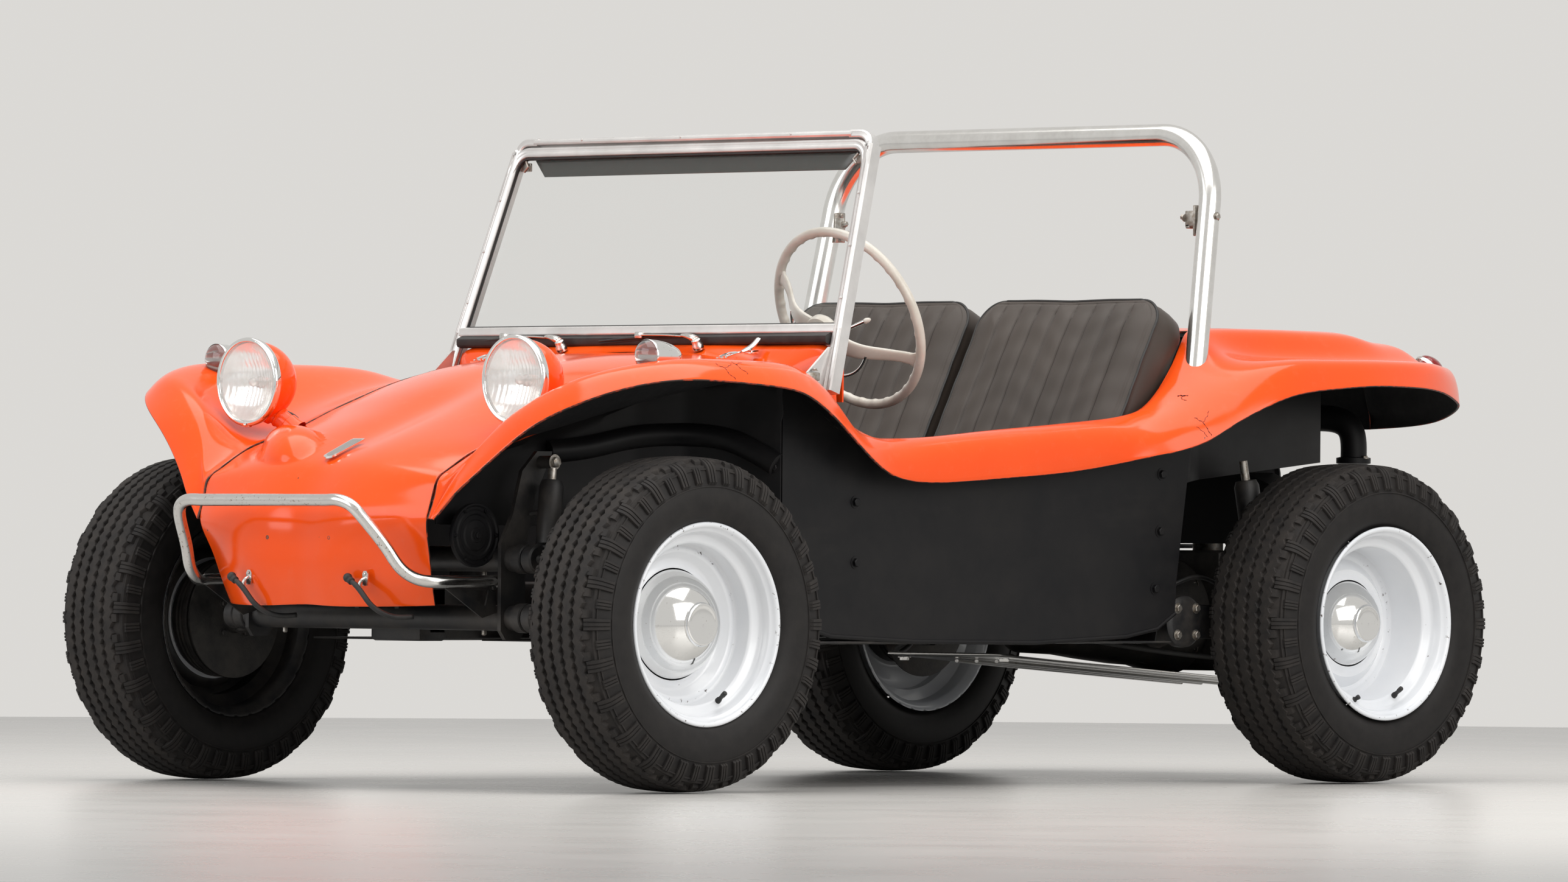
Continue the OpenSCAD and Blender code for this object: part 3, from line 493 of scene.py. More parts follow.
def ivory_material():
    """The steering wheel's aged off-white plastic, darker in hairline stains."""
    n = Nodes("aged_ivory")
    stain = n.noise(16, 6, 0.6)
    shade = n.mix(n.ramp(stain, 0.4, 0.75), (0.62, 0.585, 0.52), (0.50, 0.455, 0.38))
    n.bump(n.noise(90, 3), 0.05, 0.0006)
    return n.set(Base_Color=shade, Roughness=n.to_range(stain, 0.22, 0.38), Coat_Weight=0.3,
                 Coat_Roughness=0.15)


def window_material():
    """Clear laminated glass with a very slight green cast and a little dust."""
    n = Nodes("window_glass")
    dust = n.noise(14, 7, 0.7)
    return n.set(Base_Color=(0.30, 0.36, 0.33), Roughness=n.to_range(dust, 0.01, 0.04),
                 Specular_IOR_Level=0.5, Alpha=0.055)


def visor_material():
    """Smoked plastic: nearly black, a little light through it."""
    n = Nodes("smoked_visor")
    haze = n.noise(30, 5, 0.6)
    n.bump(n.noise(120, 2), 0.03, 0.0004)
    return n.set(Base_Color=n.mix(haze, (0.020, 0.018, 0.016), (0.035, 0.031, 0.028)),
                 Roughness=n.to_range(haze, 0.12, 0.25), Alpha=0.90)


def lens_material(name, colour, rough=0.03):
    n = Nodes(name)
    ripple = n.noise(160, 2)
    n.bump(ripple, 0.1, 0.0006)
    return n.set(Base_Color=colour, Roughness=n.to_range(ripple, rough, rough + 0.06),
                 Transmission_Weight=0.92, IOR=1.35, Coat_Weight=0.5)


def reflector_material():
    """The headlights' silvered bowl, a little tarnished."""
    n = Nodes("silvered_reflector")
    haze = n.noise(60, 5, 0.6)
    shade = n.mix(n.ramp(haze, 0.35, 0.8), (0.93, 0.93, 0.91), (0.78, 0.76, 0.70))
    n.bump(n.noise(200, 2), 0.04, 0.0005)
    return n.set(Base_Color=shade, Metallic=0.9, Roughness=n.to_range(haze, 0.16, 0.30))


def lamp_lens_material():
    """Clear pressed glass, its flutes catching the light."""
    n = Nodes("fluted_lamp_glass")
    flute = n.math("SINE", n.math("MULTIPLY", n.axes()[0], 1250.0))
    n.bump(flute, 0.5, 0.0006)
    return n.set(Base_Color=(0.92, 0.94, 0.95), Roughness=n.to_range(n.noise(90, 2), 0.04, 0.10),
                 Alpha=0.24, Specular_IOR_Level=0.9, Coat_Weight=1.0, Coat_Roughness=0.03)


def dull_chrome_material():
    n = Nodes("blank_plate_metal")
    grain = n.noise(180, 4, 0.6)
    n.bump(grain, 0.2, 0.0005)
    return n.set(Base_Color=n.mix(grain, (0.30, 0.29, 0.28), (0.44, 0.43, 0.41)), Metallic=0.9,
                 Roughness=n.to_range(grain, 0.25, 0.45))


def bulb_material():
    n = Nodes("lamp_bulb")
    n.bump(n.noise(300, 2), 0.05, 0.0004)
    return n.set(Base_Color=(0.95, 0.93, 0.88), Roughness=n.to_range(n.noise(80, 3), 0.1, 0.25),
                 Transmission_Weight=0.6, IOR=1.4)


def rusty_steel_material():
    n = Nodes("rusty_steel")
    rust = n.noise(60, 7, 0.7)
    shade = n.mix(n.ramp(rust, 0.35, 0.65), (0.16, 0.14, 0.125), (0.11, 0.050, 0.026))
    n.bump(rust, 0.4, 0.0008)
    return n.set(Base_Color=shade, Metallic=0.5, Roughness=n.to_range(rust, 0.4, 0.8))


def hidden_steel_material():
    """Bright bolt heads: zinc plate gone grey."""
    n = Nodes("zinc_fastener")
    stain = n.noise(120, 5, 0.65)
    shade = n.mix(n.ramp(stain, 0.4, 0.7), (0.42, 0.40, 0.37), (0.20, 0.16, 0.12))
    n.bump(stain, 0.3, 0.0005)
    return n.set(Base_Color=shade, Metallic=0.9, Roughness=n.to_range(stain, 0.28, 0.55))


def lip_material():
    """The panels' cut edges: brown-black, where the gel coat has been rubbed through."""
    n = Nodes("worn_panel_edge")
    wear = n.noise(45, 6, 0.7)
    shade = n.mix(n.ramp(wear, 0.48, 0.62), (0.030, 0.014, 0.009), (0.42, 0.045, 0.010))
    n.bump(wear, 0.3, 0.0008)
    return n.set(Base_Color=shade, Roughness=n.to_range(wear, 0.4, 0.7))


PAINT = paint_material()
LIP_EDGE = lip_material()
SATIN = black_paint_material()
UNDER = underside_material()
FRAME_BLACK = frame_paint_material()
CAST = cast_material()
CHROME = chrome_material()
WORN_CHROME = worn_chrome_material()
HOOP = polished_tube_material()
ALUMINIUM = aluminium_material()
WHITE = white_paint_material()
TYRE = rubber_material()
VINYL = vinyl_material()
RUBBER = black_rubber_material()
IVORY = ivory_material()
WINDOW = window_material()
VISOR = visor_material()
CLEAR_LENS = lens_material("clear_lens", (0.97, 0.98, 0.98))
RED_LENS = lens_material("red_lens", (0.45, 0.012, 0.012), 0.12)
BULB = bulb_material()
REFLECTOR = reflector_material()
LAMP_LENS = lamp_lens_material()
DULL_CHROME = dull_chrome_material()
RUST = rusty_steel_material()
ZINC = hidden_steel_material()


# ---- camera, light and floor ----

def place_camera():
    """A long lens from ahead of the car's left front corner, a little above the bumper."""
    yaw, pitch, roll = math.radians(45.1166), math.radians(0.4961), math.radians(0.4019)
    data = bpy.data.cameras.new("camera")
    data.sensor_width = 36.0
    data.lens = 268.04
    data.clip_end = 200
    camera = bpy.data.objects.new("camera", data)
    bpy.context.scene.collection.objects.link(camera)
    ahead = Vector((-math.sin(yaw) * math.cos(pitch), math.cos(yaw) * math.cos(pitch), math.sin(pitch)))
    right = Vector((math.cos(yaw), math.sin(yaw), 0))
    up = right.cross(ahead)
    c, s = math.cos(roll), math.sin(roll)
    right, up = right * c + up * s, up * c - right * s
    place = Vector((17586.45, -16507.36 + AXLE_Y, 508.49)) * MM
    camera.matrix_world = Matrix(((right.x, up.x, -ahead.x, place.x), (right.y, up.y, -ahead.y, place.y),
                                  (right.z, up.z, -ahead.z, place.z), (0, 0, 0, 1)))
    bpy.context.scene.camera = camera


def area_light(name, place, target, size, power, colour=(1, 1, 1)):
    data = bpy.data.lights.new(name, "AREA")
    data.shape = "RECTANGLE"
    data.size, data.size_y = size
    data.energy = power
    data.color = colour
    lamp = bpy.data.objects.new(name, data)
    bpy.context.scene.collection.objects.link(lamp)
    lamp.location = place
    lamp.rotation_euler = (Vector(target) - Vector(place)).to_track_quat("-Z", "Y").to_euler()


PALE = (0.71, 0.695, 0.67)


def make_stage():
    world = bpy.data.worlds.new("studio")
    bpy.context.scene.world = world
    world.use_nodes = True
    tree = world.node_tree
    light = tree.nodes["Background"]
    light.inputs["Color"].default_value = (0.93, 0.96, 1.0, 1)
    light.inputs["Strength"].default_value = 0.50
    seen = tree.nodes.new("ShaderNodeBackground")
    seen.inputs["Color"].default_value = (*PALE, 1)
    path = tree.nodes.new("ShaderNodeLightPath")
    mix = tree.nodes.new("ShaderNodeMixShader")
    share = path.outputs["Is Camera Ray"]
    for ray in ("Is Glossy Ray", "Is Transmission Ray"):
        both = tree.nodes.new("ShaderNodeMath")
        both.operation = "MAXIMUM"
        tree.links.new(path.outputs[ray], both.inputs[0])
        tree.links.new(share, both.inputs[1])
        share = both.outputs[0]
    tree.links.new(share, mix.inputs[0])
    tree.links.new(light.outputs[0], mix.inputs[1])
    tree.links.new(seen.outputs[0], mix.inputs[2])
    tree.links.new(mix.outputs[0], tree.nodes["World Output"].inputs[0])

    n = Nodes("pale_floor")
    cloud = n.noise(0.9, 5, 0.6)
    n.set(Base_Color=n.mix(cloud, (0.50, 0.485, 0.46), (0.56, 0.545, 0.52)),
          Roughness=n.to_range(n.noise(3, 5), 0.22, 0.34), Specular_IOR_Level=0.5)
    mesh = bpy.data.meshes.new("floor")
    ring = [(8.4 * math.cos(a), 8.4 * math.sin(a), 0) for a in np.linspace(0, 2 * math.pi, 180, endpoint=False)]
    mesh.from_pydata(ring, [], [tuple(range(180))])
    mesh.materials.append(n.mat)
    floor = bpy.data.objects.new("floor", mesh)
    bpy.context.scene.collection.objects.link(floor)

    area_light("top_soft", (0.5, -0.5, 5.2), (0, 0, 0.5), (6.5, 6.5), 330, (1.0, 0.985, 0.96))
    area_light("left_soft", (5.6, -0.3, 2.6), (0.2, 0.2, 0.6), (5.0, 3.0), 150, (1.0, 0.98, 0.95))
    area_light("front_soft", (-1.2, -6.2, 2.8), (0, 0, 0.6), (5.0, 3.0), 130, (0.97, 0.985, 1.0))
    bpy.context.scene.view_settings.view_transform = "Standard"


place_camera()
make_stage()


# ---- body panels ----

def unit(v):
    v = np.asarray(v, float)
    return v / np.linalg.norm(v)


def mixed(a, b, t):
    return np.asarray(a, float) * (1 - t) + np.asarray(b, float) * t


def grid_normals(g):
    n = np.cross(np.gradient(g, axis=1), np.gradient(g, axis=0))
    return n / np.maximum(np.linalg.norm(n, axis=2, keepdims=True), 1e-9)


def panel_shape(g, thick, outward, shape=None, mats=(0, 1, 2), lip=1.2):
    """A closed shell: outer face g, inner face thick behind it, and a rounded rim."""
    shape = shape or Shape()
    n = grid_normals(g)
    if n[len(g) // 2, g.shape[1] // 2] @ np.asarray(outward, float) < 0:
        n = -n
    rows, cols = g.shape[:2]
    rim = ([(0, j) for j in range(cols)] + [(i, cols - 1) for i in range(1, rows)]
           + [(rows - 1, j) for j in range(cols - 2, -1, -1)] + [(i, 0) for i in range(rows - 2, 0, -1)])
    inside = g - n * thick
    shape.mat = mats[0]
    shape.grid(g)
    shape.mat = mats[1]
    shape.grid(inside, flip=True)
    # Rim: out from the outer edge, round and back to the inner edge
    edge = np.array([g[i, j] for i, j in rim])
    norm = np.array([n[i, j] for i, j in rim])
    along = np.roll(edge, -1, 0) - np.roll(edge, 1, 0)
    out = np.cross(along, norm)
    out /= np.maximum(np.linalg.norm(out, axis=1, keepdims=True), 1e-9)
    middle = g.reshape(-1, 3).mean(0)
    if np.mean(np.sum(out * (edge - middle), 1)) < 0:
        out = -out
    rows_out = [edge + out * (lip * math.sin(a)) - norm * (thick * (1 - math.cos(a)) / 2)
                for a in np.linspace(0, math.pi, 7)]
    shape.mat = mats[2]
    shape.grid(rows_out, close_v=True)
    shape.mat = 0
    return shape


FRONT_FENDER = [
    [(345, -354, 552), (351, -350, 551), (357, -347, 549)],
    [(346, -336, 600), (366, -323, 603), (404, -334, 602)],
    [(346, -327, 630), (386, -309, 639), (435, -319, 633)],
    [(346, -297, 651), (422, -284, 690), (499, -292, 691)],
    [(348, -226, 689), (470, -249, 754), (569, -267, 743)],
    [(351, -170, 710), (540, -210, 806), (640, -233, 780)],
    [(355, -110, 725), (620, -170, 842), (705, -180, 810)],
    [(362, -40, 748), (680, -90, 866), (755, -95, 831)],
    [(372, 50, 780), (712, 0, 877), (775, 5, 836)],
    [(382, 150, 812), (716, 110, 878), (776, 115, 832)],
    [(395, 250, 840), (706, 229, 876), (770, 229, 825)],
    [(413, 350, 860), (686, 331, 871), (750, 331, 809)],
    [(450, 430, 868), (668, 410, 853), (730, 420, 772)],
    [(530, 495, 835), (662, 475, 812), (703, 495, 737)],
    [(570, 555, 782), (652, 540, 760), (688, 550, 706)],
    [(573, 625, 735), (632, 615, 733), (670, 625, 666)]]
# y, height of the top, lip x, lip z
SILL = [(700, 725, 656, 642), (820, 728, 650, 635), (1000, 743, 650, 645), (1194, 758, 650, 659),
        (1350, 771, 655, 679)]
REAR_FENDER = [
    [(573, 1452, 780), (590, 1452, 785), (610, 1452, 781), (640, 1452, 762), (676, 1438, 696)],
    [(571, 1510, 799), (588, 1512, 805), (613, 1515, 801), (652, 1515, 784), (692, 1507, 709)],
    [(564, 1568, 840), (583, 1572, 847), (617, 1576, 840), (668, 1576, 815), (718, 1568, 733)],
    [(554, 1618, 889), (578, 1625, 894), (620, 1632, 879), (686, 1632, 850), (740, 1615, 764)],
    [(535, 1668, 940), (566, 1678, 939), (616, 1692, 909), (706, 1690, 877), (758, 1672, 794)],
    [(506, 1722, 966), (545, 1735, 958), (600, 1755, 914), (722, 1752, 894), (772, 1745, 822)],
    [(490, 1800, 973), (535, 1812, 963), (586, 1830, 911), (733, 1825, 903), (776, 1820, 837)],
    [(488, 1910, 974), (533, 1915, 963), (580, 1920, 910), (738, 1912, 905), (776, 1908, 845)],
    [(488, 2022, 974), (533, 2022, 962), (578, 2022, 910), (738, 2022, 906), (775, 2022, 852)],
    [(486, 2140, 973), (528, 2140, 960), (575, 2140, 910), (726, 2140, 906), (758, 2140, 852)],
    [(478, 2240, 969), (518, 2246, 955), (570, 2252, 909), (700, 2252, 905), (731, 2242, 849)],
    [(458, 2312, 958), (503, 2326, 945), (560, 2340, 907), (662, 2345, 902), (691, 2342, 840)],
    [(436, 2382, 953), (484, 2402, 940), (543, 2420, 904), (615, 2425, 897), (647, 2424, 826)],
    [(415, 2440, 947), (462, 2464, 932), (515, 2480, 899), (570, 2486, 888), (603, 2484, 815)],
    [(390, 2484, 930), (425, 2512, 905), (460, 2530, 880), (500, 2542, 845), (535, 2538, 799)],
    [(355, 2500, 925), (375, 2535, 890), (392, 2556, 855), (410, 2570, 818), (430, 2578, 779)],
    [(250, 2510, 925), (250, 2548, 888), (250, 2568, 852), (250, 2582, 808), (250, 2588, 767)]]
HOOD_LINE = [(-374, 375), (-388, 430), (-392, 490), (-388, 545), (-371, 588), (-340, 636), (-307, 668),
             (-214, 706), (-117, 741), (-32, 773), (37, 801), (106, 828), (175, 849), (245, 868),
             (350, 887), (450, 898), (530, 903)]
HOOD_EDGE = [(312, -295, 375), (322, -315, 430), (333, -334, 490), (345, -352, 545), (346, -341, 588),
             (346, -324, 633), (346, -297, 651), (348, -226, 689), (355, -117, 723), (363, -32, 751),
             (371, 37, 776), (378, 106, 798), (385, 175, 820), (394, 245, 839), (413, 350, 860),
             (424, 450, 869), (420, 528, 873)]
HOOD_CROWN = [14, 14, 14, 14, 12, 10, 12, 16, 18, 18, 18, 18, 18, 16, 14, 12, 12]
# y, z on the centre line, z at the side's top edge, x of that edge, z of the foot
COWL = [(538, 905, 872, 420, 868), (560, 910, 885, 500, 800), (584, 920, 911, 548, 772),
        (602, 922, 916, 550, 762)]
SKIN = 5.0
TUB_X = 590


def side_rows():
    """Cross-sections of the body's left side from the nose to the tail, six points each."""
    rows = []
    for seam, crest, lip in FRONT_FENDER:
        seam, crest, lip = (np.array(p, float) for p in (seam, crest, lip))
        seam = seam + (4.5, 0, 0)
        drop = np.linalg.norm(crest - seam)
        out = np.linalg.norm(lip - crest)
        rows.append([seam, mixed(seam, crest, 0.35) - (0, 0, 0.09 * drop), mixed(seam, crest, 0.75),
                     crest, mixed(crest, lip, 0.5) + np.array((0.09, 0, 0.09)) * out, lip])
    for y, top, lip_x, lip_z in SILL:
        rows.append([(TUB_X - 20, y, top - 8), (TUB_X - 10, y, top - 2), (TUB_X + 4, y, top),
                     (TUB_X + 36, y, top - 10), (lip_x - 4, y, top - 40), (lip_x, y, lip_z)])
    for row in REAR_FENDER:
        edge, shoulder, hollow, crest, lip = (np.array(p, float) for p in row)
        out = np.linalg.norm(lip - crest)
        rows.append([edge, shoulder, hollow, crest,
                     mixed(crest, lip, 0.5) + unit((lip - edge) * (1, 1, 0)) * 0.09 * out
                     + (0, 0, 0.06 * out), lip])
    return np.array(rows, float)


def make_body_sides():
    g = spline_grid(side_rows(), 6, 7)
    shape = panel_shape(g, SKIN, (0.5, 0, 1), lip=1.5)
    flange = []
    for row in side_rows()[15:25]:
        x, y, z = row[0]
        flange.append([(x, y, z), (x - 2, y, z - 8), (x - 3, y, z - 60)])
    shape.mat = 0
    panel_shape(spline_grid(np.array(flange, float), 4, 3), 3, (-1, 0, 0), shape, (0, 0, 0), 0.5)
    under = []
    for row in side_rows()[1:13]:
        x, y, z = row[0]
        under.append([(x + 1, y + 1, z - 3), (x - 9, y + 5, z - 8), (x - 22, y + 10, z - 14)])
    panel_shape(spline_grid(np.array(under, float), 4, 3), 2, (0, 0, 1), shape, (0, 0, 0), 0.5)
    made = shape.mirrored().piece("body_sides", "chassis", "body_paint", [PAINT, UNDER, LIP_EDGE], sharp=60)
    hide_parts("front_fenders", "sills", "rear_fenders")


def make_deck():
    rows = []
    for k in range(5, 16):
        x, y, z = REAR_FENDER[k][0]
        rows.append([(s * (x - 0.2), y, z + 3 * (1 - s * s)) for s in np.linspace(-1, 1, 9)])
    for x, y, z in REAR_FENDER[16]:
        rows.append([(s * (x - 0.2), y, z) for s in np.linspace(-1, 1, 9)])
    g = spline_grid(np.array(rows, float), 5, 5)
    made = panel_shape(g, SKIN, (0, 0, 1)).piece("rear_deck_panel", "chassis", "body_paint",
                                                   [PAINT, UNDER, LIP_EDGE], sharp=60)
    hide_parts("rear_deck")


def hood_grid():
    rows = []
    for k in range(17):
        c = np.array((0, *HOOD_LINE[k]), float)
        e = np.array(HOOD_EDGE[k], float) - (4.5, 0, 0)
        step = np.array((0, HOOD_LINE[k + 1][0] - c[1], HOOD_LINE[k + 1][1] - c[2])) if k < 16 else (0, 1, 0)
        up = unit(np.cross((1, 0, 0), step))
        row = []
        for s in (-1, -0.93, -0.82, -0.55, -0.25, 0, 0.25, 0.55, 0.82, 0.93, 1):
            a = abs(s)
            row.append(np.array((s * e[0], mixed(c, e, a ** 2.2)[1], mixed(c, e, a)[2]))
                       + up * HOOD_CROWN[k] * a * (1 - a) * 4)
        rows.append(row)
    g = spline_grid(np.array(rows, float), 10, 7)
    # One rounded blister, below the right headlight's stalk
    normal = grid_normals(g)
    normal *= np.sign(normal[:, :, 2:3])
    along, across = np.array((0.86, -0.51)), np.array((0.51, 0.86))
    flat = g[:, :, :2] - (-178, -250)
    a, b = flat @ along, flat @ across
    reach = np.where(a > 0, 108.0, 150.0)
    share = np.clip(1 - (a / reach) ** 2 - (b / (60 - np.clip(-a, 0, 150) * 0.14)) ** 2, 0, 1)
    return g + normal * (37 * share ** 0.72)[:, :, None]


def make_hood():
    made = panel_shape(hood_grid(), SKIN, (0, -0.3, 1)).piece("hood_lid_panel", "hood_lid", "body_paint",
                                                           [PAINT, UNDER, LIP_EDGE], sharp=60)
    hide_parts("hood")


def make_cowl():
    rows = []
    for y, mid, top, e, foot in COWL:
        half = [(e + 14, y, foot), (e + 8, y, foot * 0.4 + top * 0.6), (e, y, top - 6),
                (e * 0.85, y, top + 4), (e * 0.5, y, mid * 0.7 + top * 0.3), (0, y, mid)]
        rows.append(half + [(-x, yy, z) for x, yy, z in half[-2::-1]])
    g = spline_grid(np.array(rows, float), 6, 5)
    made = panel_shape(g, SKIN, (0, 0, 1)).piece("cowl_panel", "chassis", "body_paint",
                                                   [PAINT, UNDER, LIP_EDGE], sharp=60)
    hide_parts("cowl")


make_body_sides()
make_deck()
make_hood()
make_cowl()


# ---- wheels ----

# Tyre section across its outer face, as shares of the half section width, from the inner bead to
# the middle of the tread: radius, half width
def tyre_section(r, half):
    return [(203, half * 0.80), (209, half * 0.865), (216, half * 0.925), (228, half * 0.975),
            (242, half), (258, half * 1.005), (272, half * 0.995), (r - 58, half * 0.97),
            (r - 42, half * 0.935), (r - 30, half * 0.90), (r - 20, half * 0.868)]


def tread_radius(r, half, w):
    """Height of the tread's ground, w across it from the middle: nearly flat, then a round shoulder."""
    return r - 9 - 5.0 * (w / half) ** 2 - 12.0 * max(0.0, abs(w) / half - 0.86) ** 1.5 * 10


def zigzag(a, count, reach):
    """A sharp zigzag of a turn a, with count teeth round the tyre."""
    t = (a * count / (2 * math.pi)) % 1.0
    return reach * (4 * abs(t - 0.5) - 1)


def make_tyre(name, centre, side, r, section, tread, body):
    """A bar-and-rib tyre: five zigzag ribs, and groups of thin lugs down both shoulders."""
    shape = Shape()
    centre = np.asarray(centre, float)

    def at(a, w, radius):
        return (centre[0] + side * w, centre[1] + radius * math.sin(a), centre[2] + radius * math.cos(a))

    # Carcass: both walls and the ground of the tread
    steps = 144
    wall = tyre_section(r, section)
    ground = [(tread_radius(r, tread, w), w) for w in np.linspace(tread, -tread, 15)]
    profile = wall + [(q, w) for q, w in ground] + [(q, -w) for q, w in wall[::-1]]
    profile += [(203, -section * 0.6), (203, section * 0.6)]
    angles = np.linspace(0, 2 * math.pi, steps, endpoint=False)
    shape.grid([[at(a, w, q) for a in angles] for q, w in profile], close_u=True, close_v=True)
    marks = [0.0] * len(shape.verts)

    # Ribs: zigzag bands that stand above the ground
    teeth = 96
    turns = np.linspace(0, 2 * math.pi, teeth * 4, endpoint=False)
    pitch = tread * 2 / 5.6
    for k in range(-2, 3):
        mid = k * pitch
        half = pitch * 0.355
        rows = []
        for w_off, lift in ((-half - 1.5, -2), (-half, 6.5), (-half + 1.5, 8), (half - 1.5, 8), (half, 6.5),
                            (half + 1.5, -2)):
            row = []
            for a in turns:
                shift = zigzag(a + (k % 2) * math.pi / teeth, teeth, pitch * 0.11)
                w = mid + w_off + shift
                row.append(at(a, w, min(r - 0.8 - 5.0 * (w / tread) ** 2, tread_radius(r, tread, w) + lift)))
            rows.append(row)
        shape.grid(rows, close_v=True)
        marks += [1.0] * (len(shape.verts) - len(marks))

    # Shoulder lugs: raised blocks of three thin bars, long and short by turns, down to a thin ring
    groups = 48
    line = spline([(tread_radius(r, tread, tread * 0.84) + 2, tread * 0.84, 0),
                   (tread_radius(r, tread, tread * 0.97) + 2, tread * 0.985, 0),
                   (r - 26, section * 0.893, 0), (r - 44, section * 0.945, 0),
                   (r - 60, section * 0.982, 0)], 3)
    bars = [(-1.0, -3.0), (-0.97, 3.2), (-0.90, 5.6), (-0.46, 5.6), (-0.40, 3.4), (-0.30, 3.4), (-0.24, 5.6),
            (0.24, 5.6), (0.30, 3.4), (0.40, 3.4), (0.46, 5.6), (0.90, 5.6), (0.97, 3.2), (1.0, -3.0)]
    for hand in (1, -1):
        for g in range(groups):
            long = g % 2 == 0
            base = (g + (0.5 if hand < 0 else 0)) * 2 * math.pi / groups
            first = 0 if long else 5
            rows = []
            for i in range(first, len(line)):
                q, w, _ = line[i]
                wide = (13.0 if long else 10.5) * (1.0 - 0.16 * i / len(line))
                q2, w2 = line[min(i + 1, len(line) - 1)][:2] - line[max(i - 1, 0)][:2]
                out = np.array((w2, -q2)) / max(np.hypot(q2, w2), 1e-6)
                out = out if out[1] > 0 or out[0] > 0 else -out
                sunk = i in (first, len(line) - 1)
                rows.append([at(base + wide * t / q, hand * (w + out[1] * (-3 if sunk else h)),
                                q + out[0] * (-3 if sunk else h)) for t, h in bars])
            shape.grid(rows)
            marks += [0.55] * (len(shape.verts) - len(marks))
        # A step that joins the lugs part of the way down
        q, w, _ = line[6]
        step = [(q - 1.5, w - 2), (q + 0.5, w + 2.6), (q - 2.5, w + 3.0), (q - 4.5, w - 1.5)]
        shape.grid([[at(a, hand * ww, qq) for a in angles] for qq, ww in step], close_v=True)
        marks += [0.5] * (len(shape.verts) - len(marks))
        # The thin ring where the lugs end
        ring = [(r - 60, section * 0.973), (r - 61, section * 0.995), (r - 63, section * 1.0),
                (r - 64, section * 0.980)]
        shape.grid([[at(a, hand * w, q) for a in angles] for q, w in ring], close_v=True)
        marks += [0.3] * (len(shape.verts) - len(marks))
    # Blocks between the outer ribs and the lugs
    for hand in (1, -1):
        for k in range(groups):
            a0 = (k + (0.5 if hand > 0 else 0)) * 2 * math.pi / groups
            rows = []
            for w, drop in ((tread * 0.83, 12), (tread * 0.845, 0), (tread * 0.90, 0), (tread * 0.965, 0),
                            (tread * 0.985, 10)):
                top = tread_radius(r, tread, w) + 6.5 - drop
                rows.append([at(a0 + t / r, hand * w, q) for t, q in
                             ((-9.5, top - 10), (-8.5, top), (8.5, top), (9.5, top - 10))])
            shape.grid(rows)
            marks += [0.8] * (len(shape.verts) - len(marks))

    made = finish_mesh(name, shape.verts, shape.faces, body, TYRE)
    wear = made.data.attributes.new("wear", "FLOAT", "POINT")
    values = np.array(marks[:len(made.data.vertices)], float)
    points = np.array(shape.verts)[:len(values)] - centre
    radius = np.hypot(points[:, 1], points[:, 2])
    carcass = np.clip((radius - (r - 46)) / 34, 0, 1) * 0.8
    wear.data.foreach_set("value", np.where(values > 0, values, carcass))
    made.data.set_sharp_from_angle(angle=math.radians(32))
    return made


def rim_profile(half, ring, seat):
    """The wheel's section, outer flange first, in (radius, distance out of the middle plane)."""
    face = seat[1]
    disc = [(164, ring[1] + 6), (162, ring[1] + 1.5), (ring[0] + 1, ring[1]), (ring[0] - 2, ring[1] + 1.2),
            (ring[0] - 9, ring[1] + 1.2), (ring[0] - 13, ring[1] - 1), (seat[0] + 24, face - 3),
            (seat[0] + 16, face - 5), (seat[0] + 8, face - 2), (seat[0] + 4, face), (seat[0] - 7, face),
            (60, face + 8), (30, face + 8)]
    well = [(202, half + 0.1), (205.5, half), (207.5, half - 2.5), (207, half - 5), (205, half - 7),
            (199, half - 10)]
    face_side = [(202, half + 0.1), (198.5, half - 1.5), (196, half - 6), (194.5, half - 10),
                 (190, half - 13.5), (188, half - 16), (186.5, half - 30), (184, half - 37.5),
                 (180, half - 40), (170, half - 44.5), (165, half - 47), (164, half - 50)]
    return well, face_side, disc


def make_rim(name, centre, side, half, ring, seat, body, inside_mat):
    """A drop-centre steel wheel in white enamel: flange, well, disc and the wheel's back."""
    shape = Shape()
    axis = Vector((side, 0, 0))
    well, face_side, disc = rim_profile(half, ring, seat)
    steps = 128
    shape.turned(well, centre, axis, steps)
    shape.turned(face_side + disc, centre, axis, steps)
    # Back of the wheel
    shape.mat = 1
    back = [(207.5, -half), (202, -half - 0.1), (196, -half + 6), (190, -half + 12), (187.5, -half + 16),
            (184.5, -half + 43), (172, -half + 50), (161, -half + 57), (160, ring[1] - 12),
            (154, ring[1] - 11), (ring[0] - 10, ring[1] - 6), (seat[0] + 22, seat[1] - 9),
            (seat[0] + 16, seat[1] - 10)]
    shape.turned(back, centre, axis, steps)
    # Well and flange seen past the tyre's beads
    shape.mat = 0
    shape.turned([(199, half - 10), (192, half - 14), (189, half - 40), (166, half - 52),
                  (164, -half + 60), (189, -half + 46), (192, -half + 14), (199, -half + 10),
                  (205, -half + 6), (207.5, -half)], centre, axis, 96)
    points = np.array(shape.verts) - np.asarray(centre, float)
    radius = np.hypot(points[:, 1], points[:, 2])
    out = points[:, 0] * side
    marks = np.where((radius > 196) & (out > half - 14), 1.0, 0.0)
    marks = np.maximum(marks, np.where((abs(radius - ring[0]) < 2.2) & (abs(out - ring[1]) < 3), 1.0, 0))
    made = finish_mesh(name, shape.verts, shape.faces, body, [WHITE, inside_mat])
    made.data.polygons.foreach_set("material_index", shape.mats)
    made.data.attributes.new("wear", "FLOAT", "POINT").data.foreach_set("value", marks)
    fix_normals(made)
    made.data.set_sharp_from_angle(angle=math.radians(50))
    return made


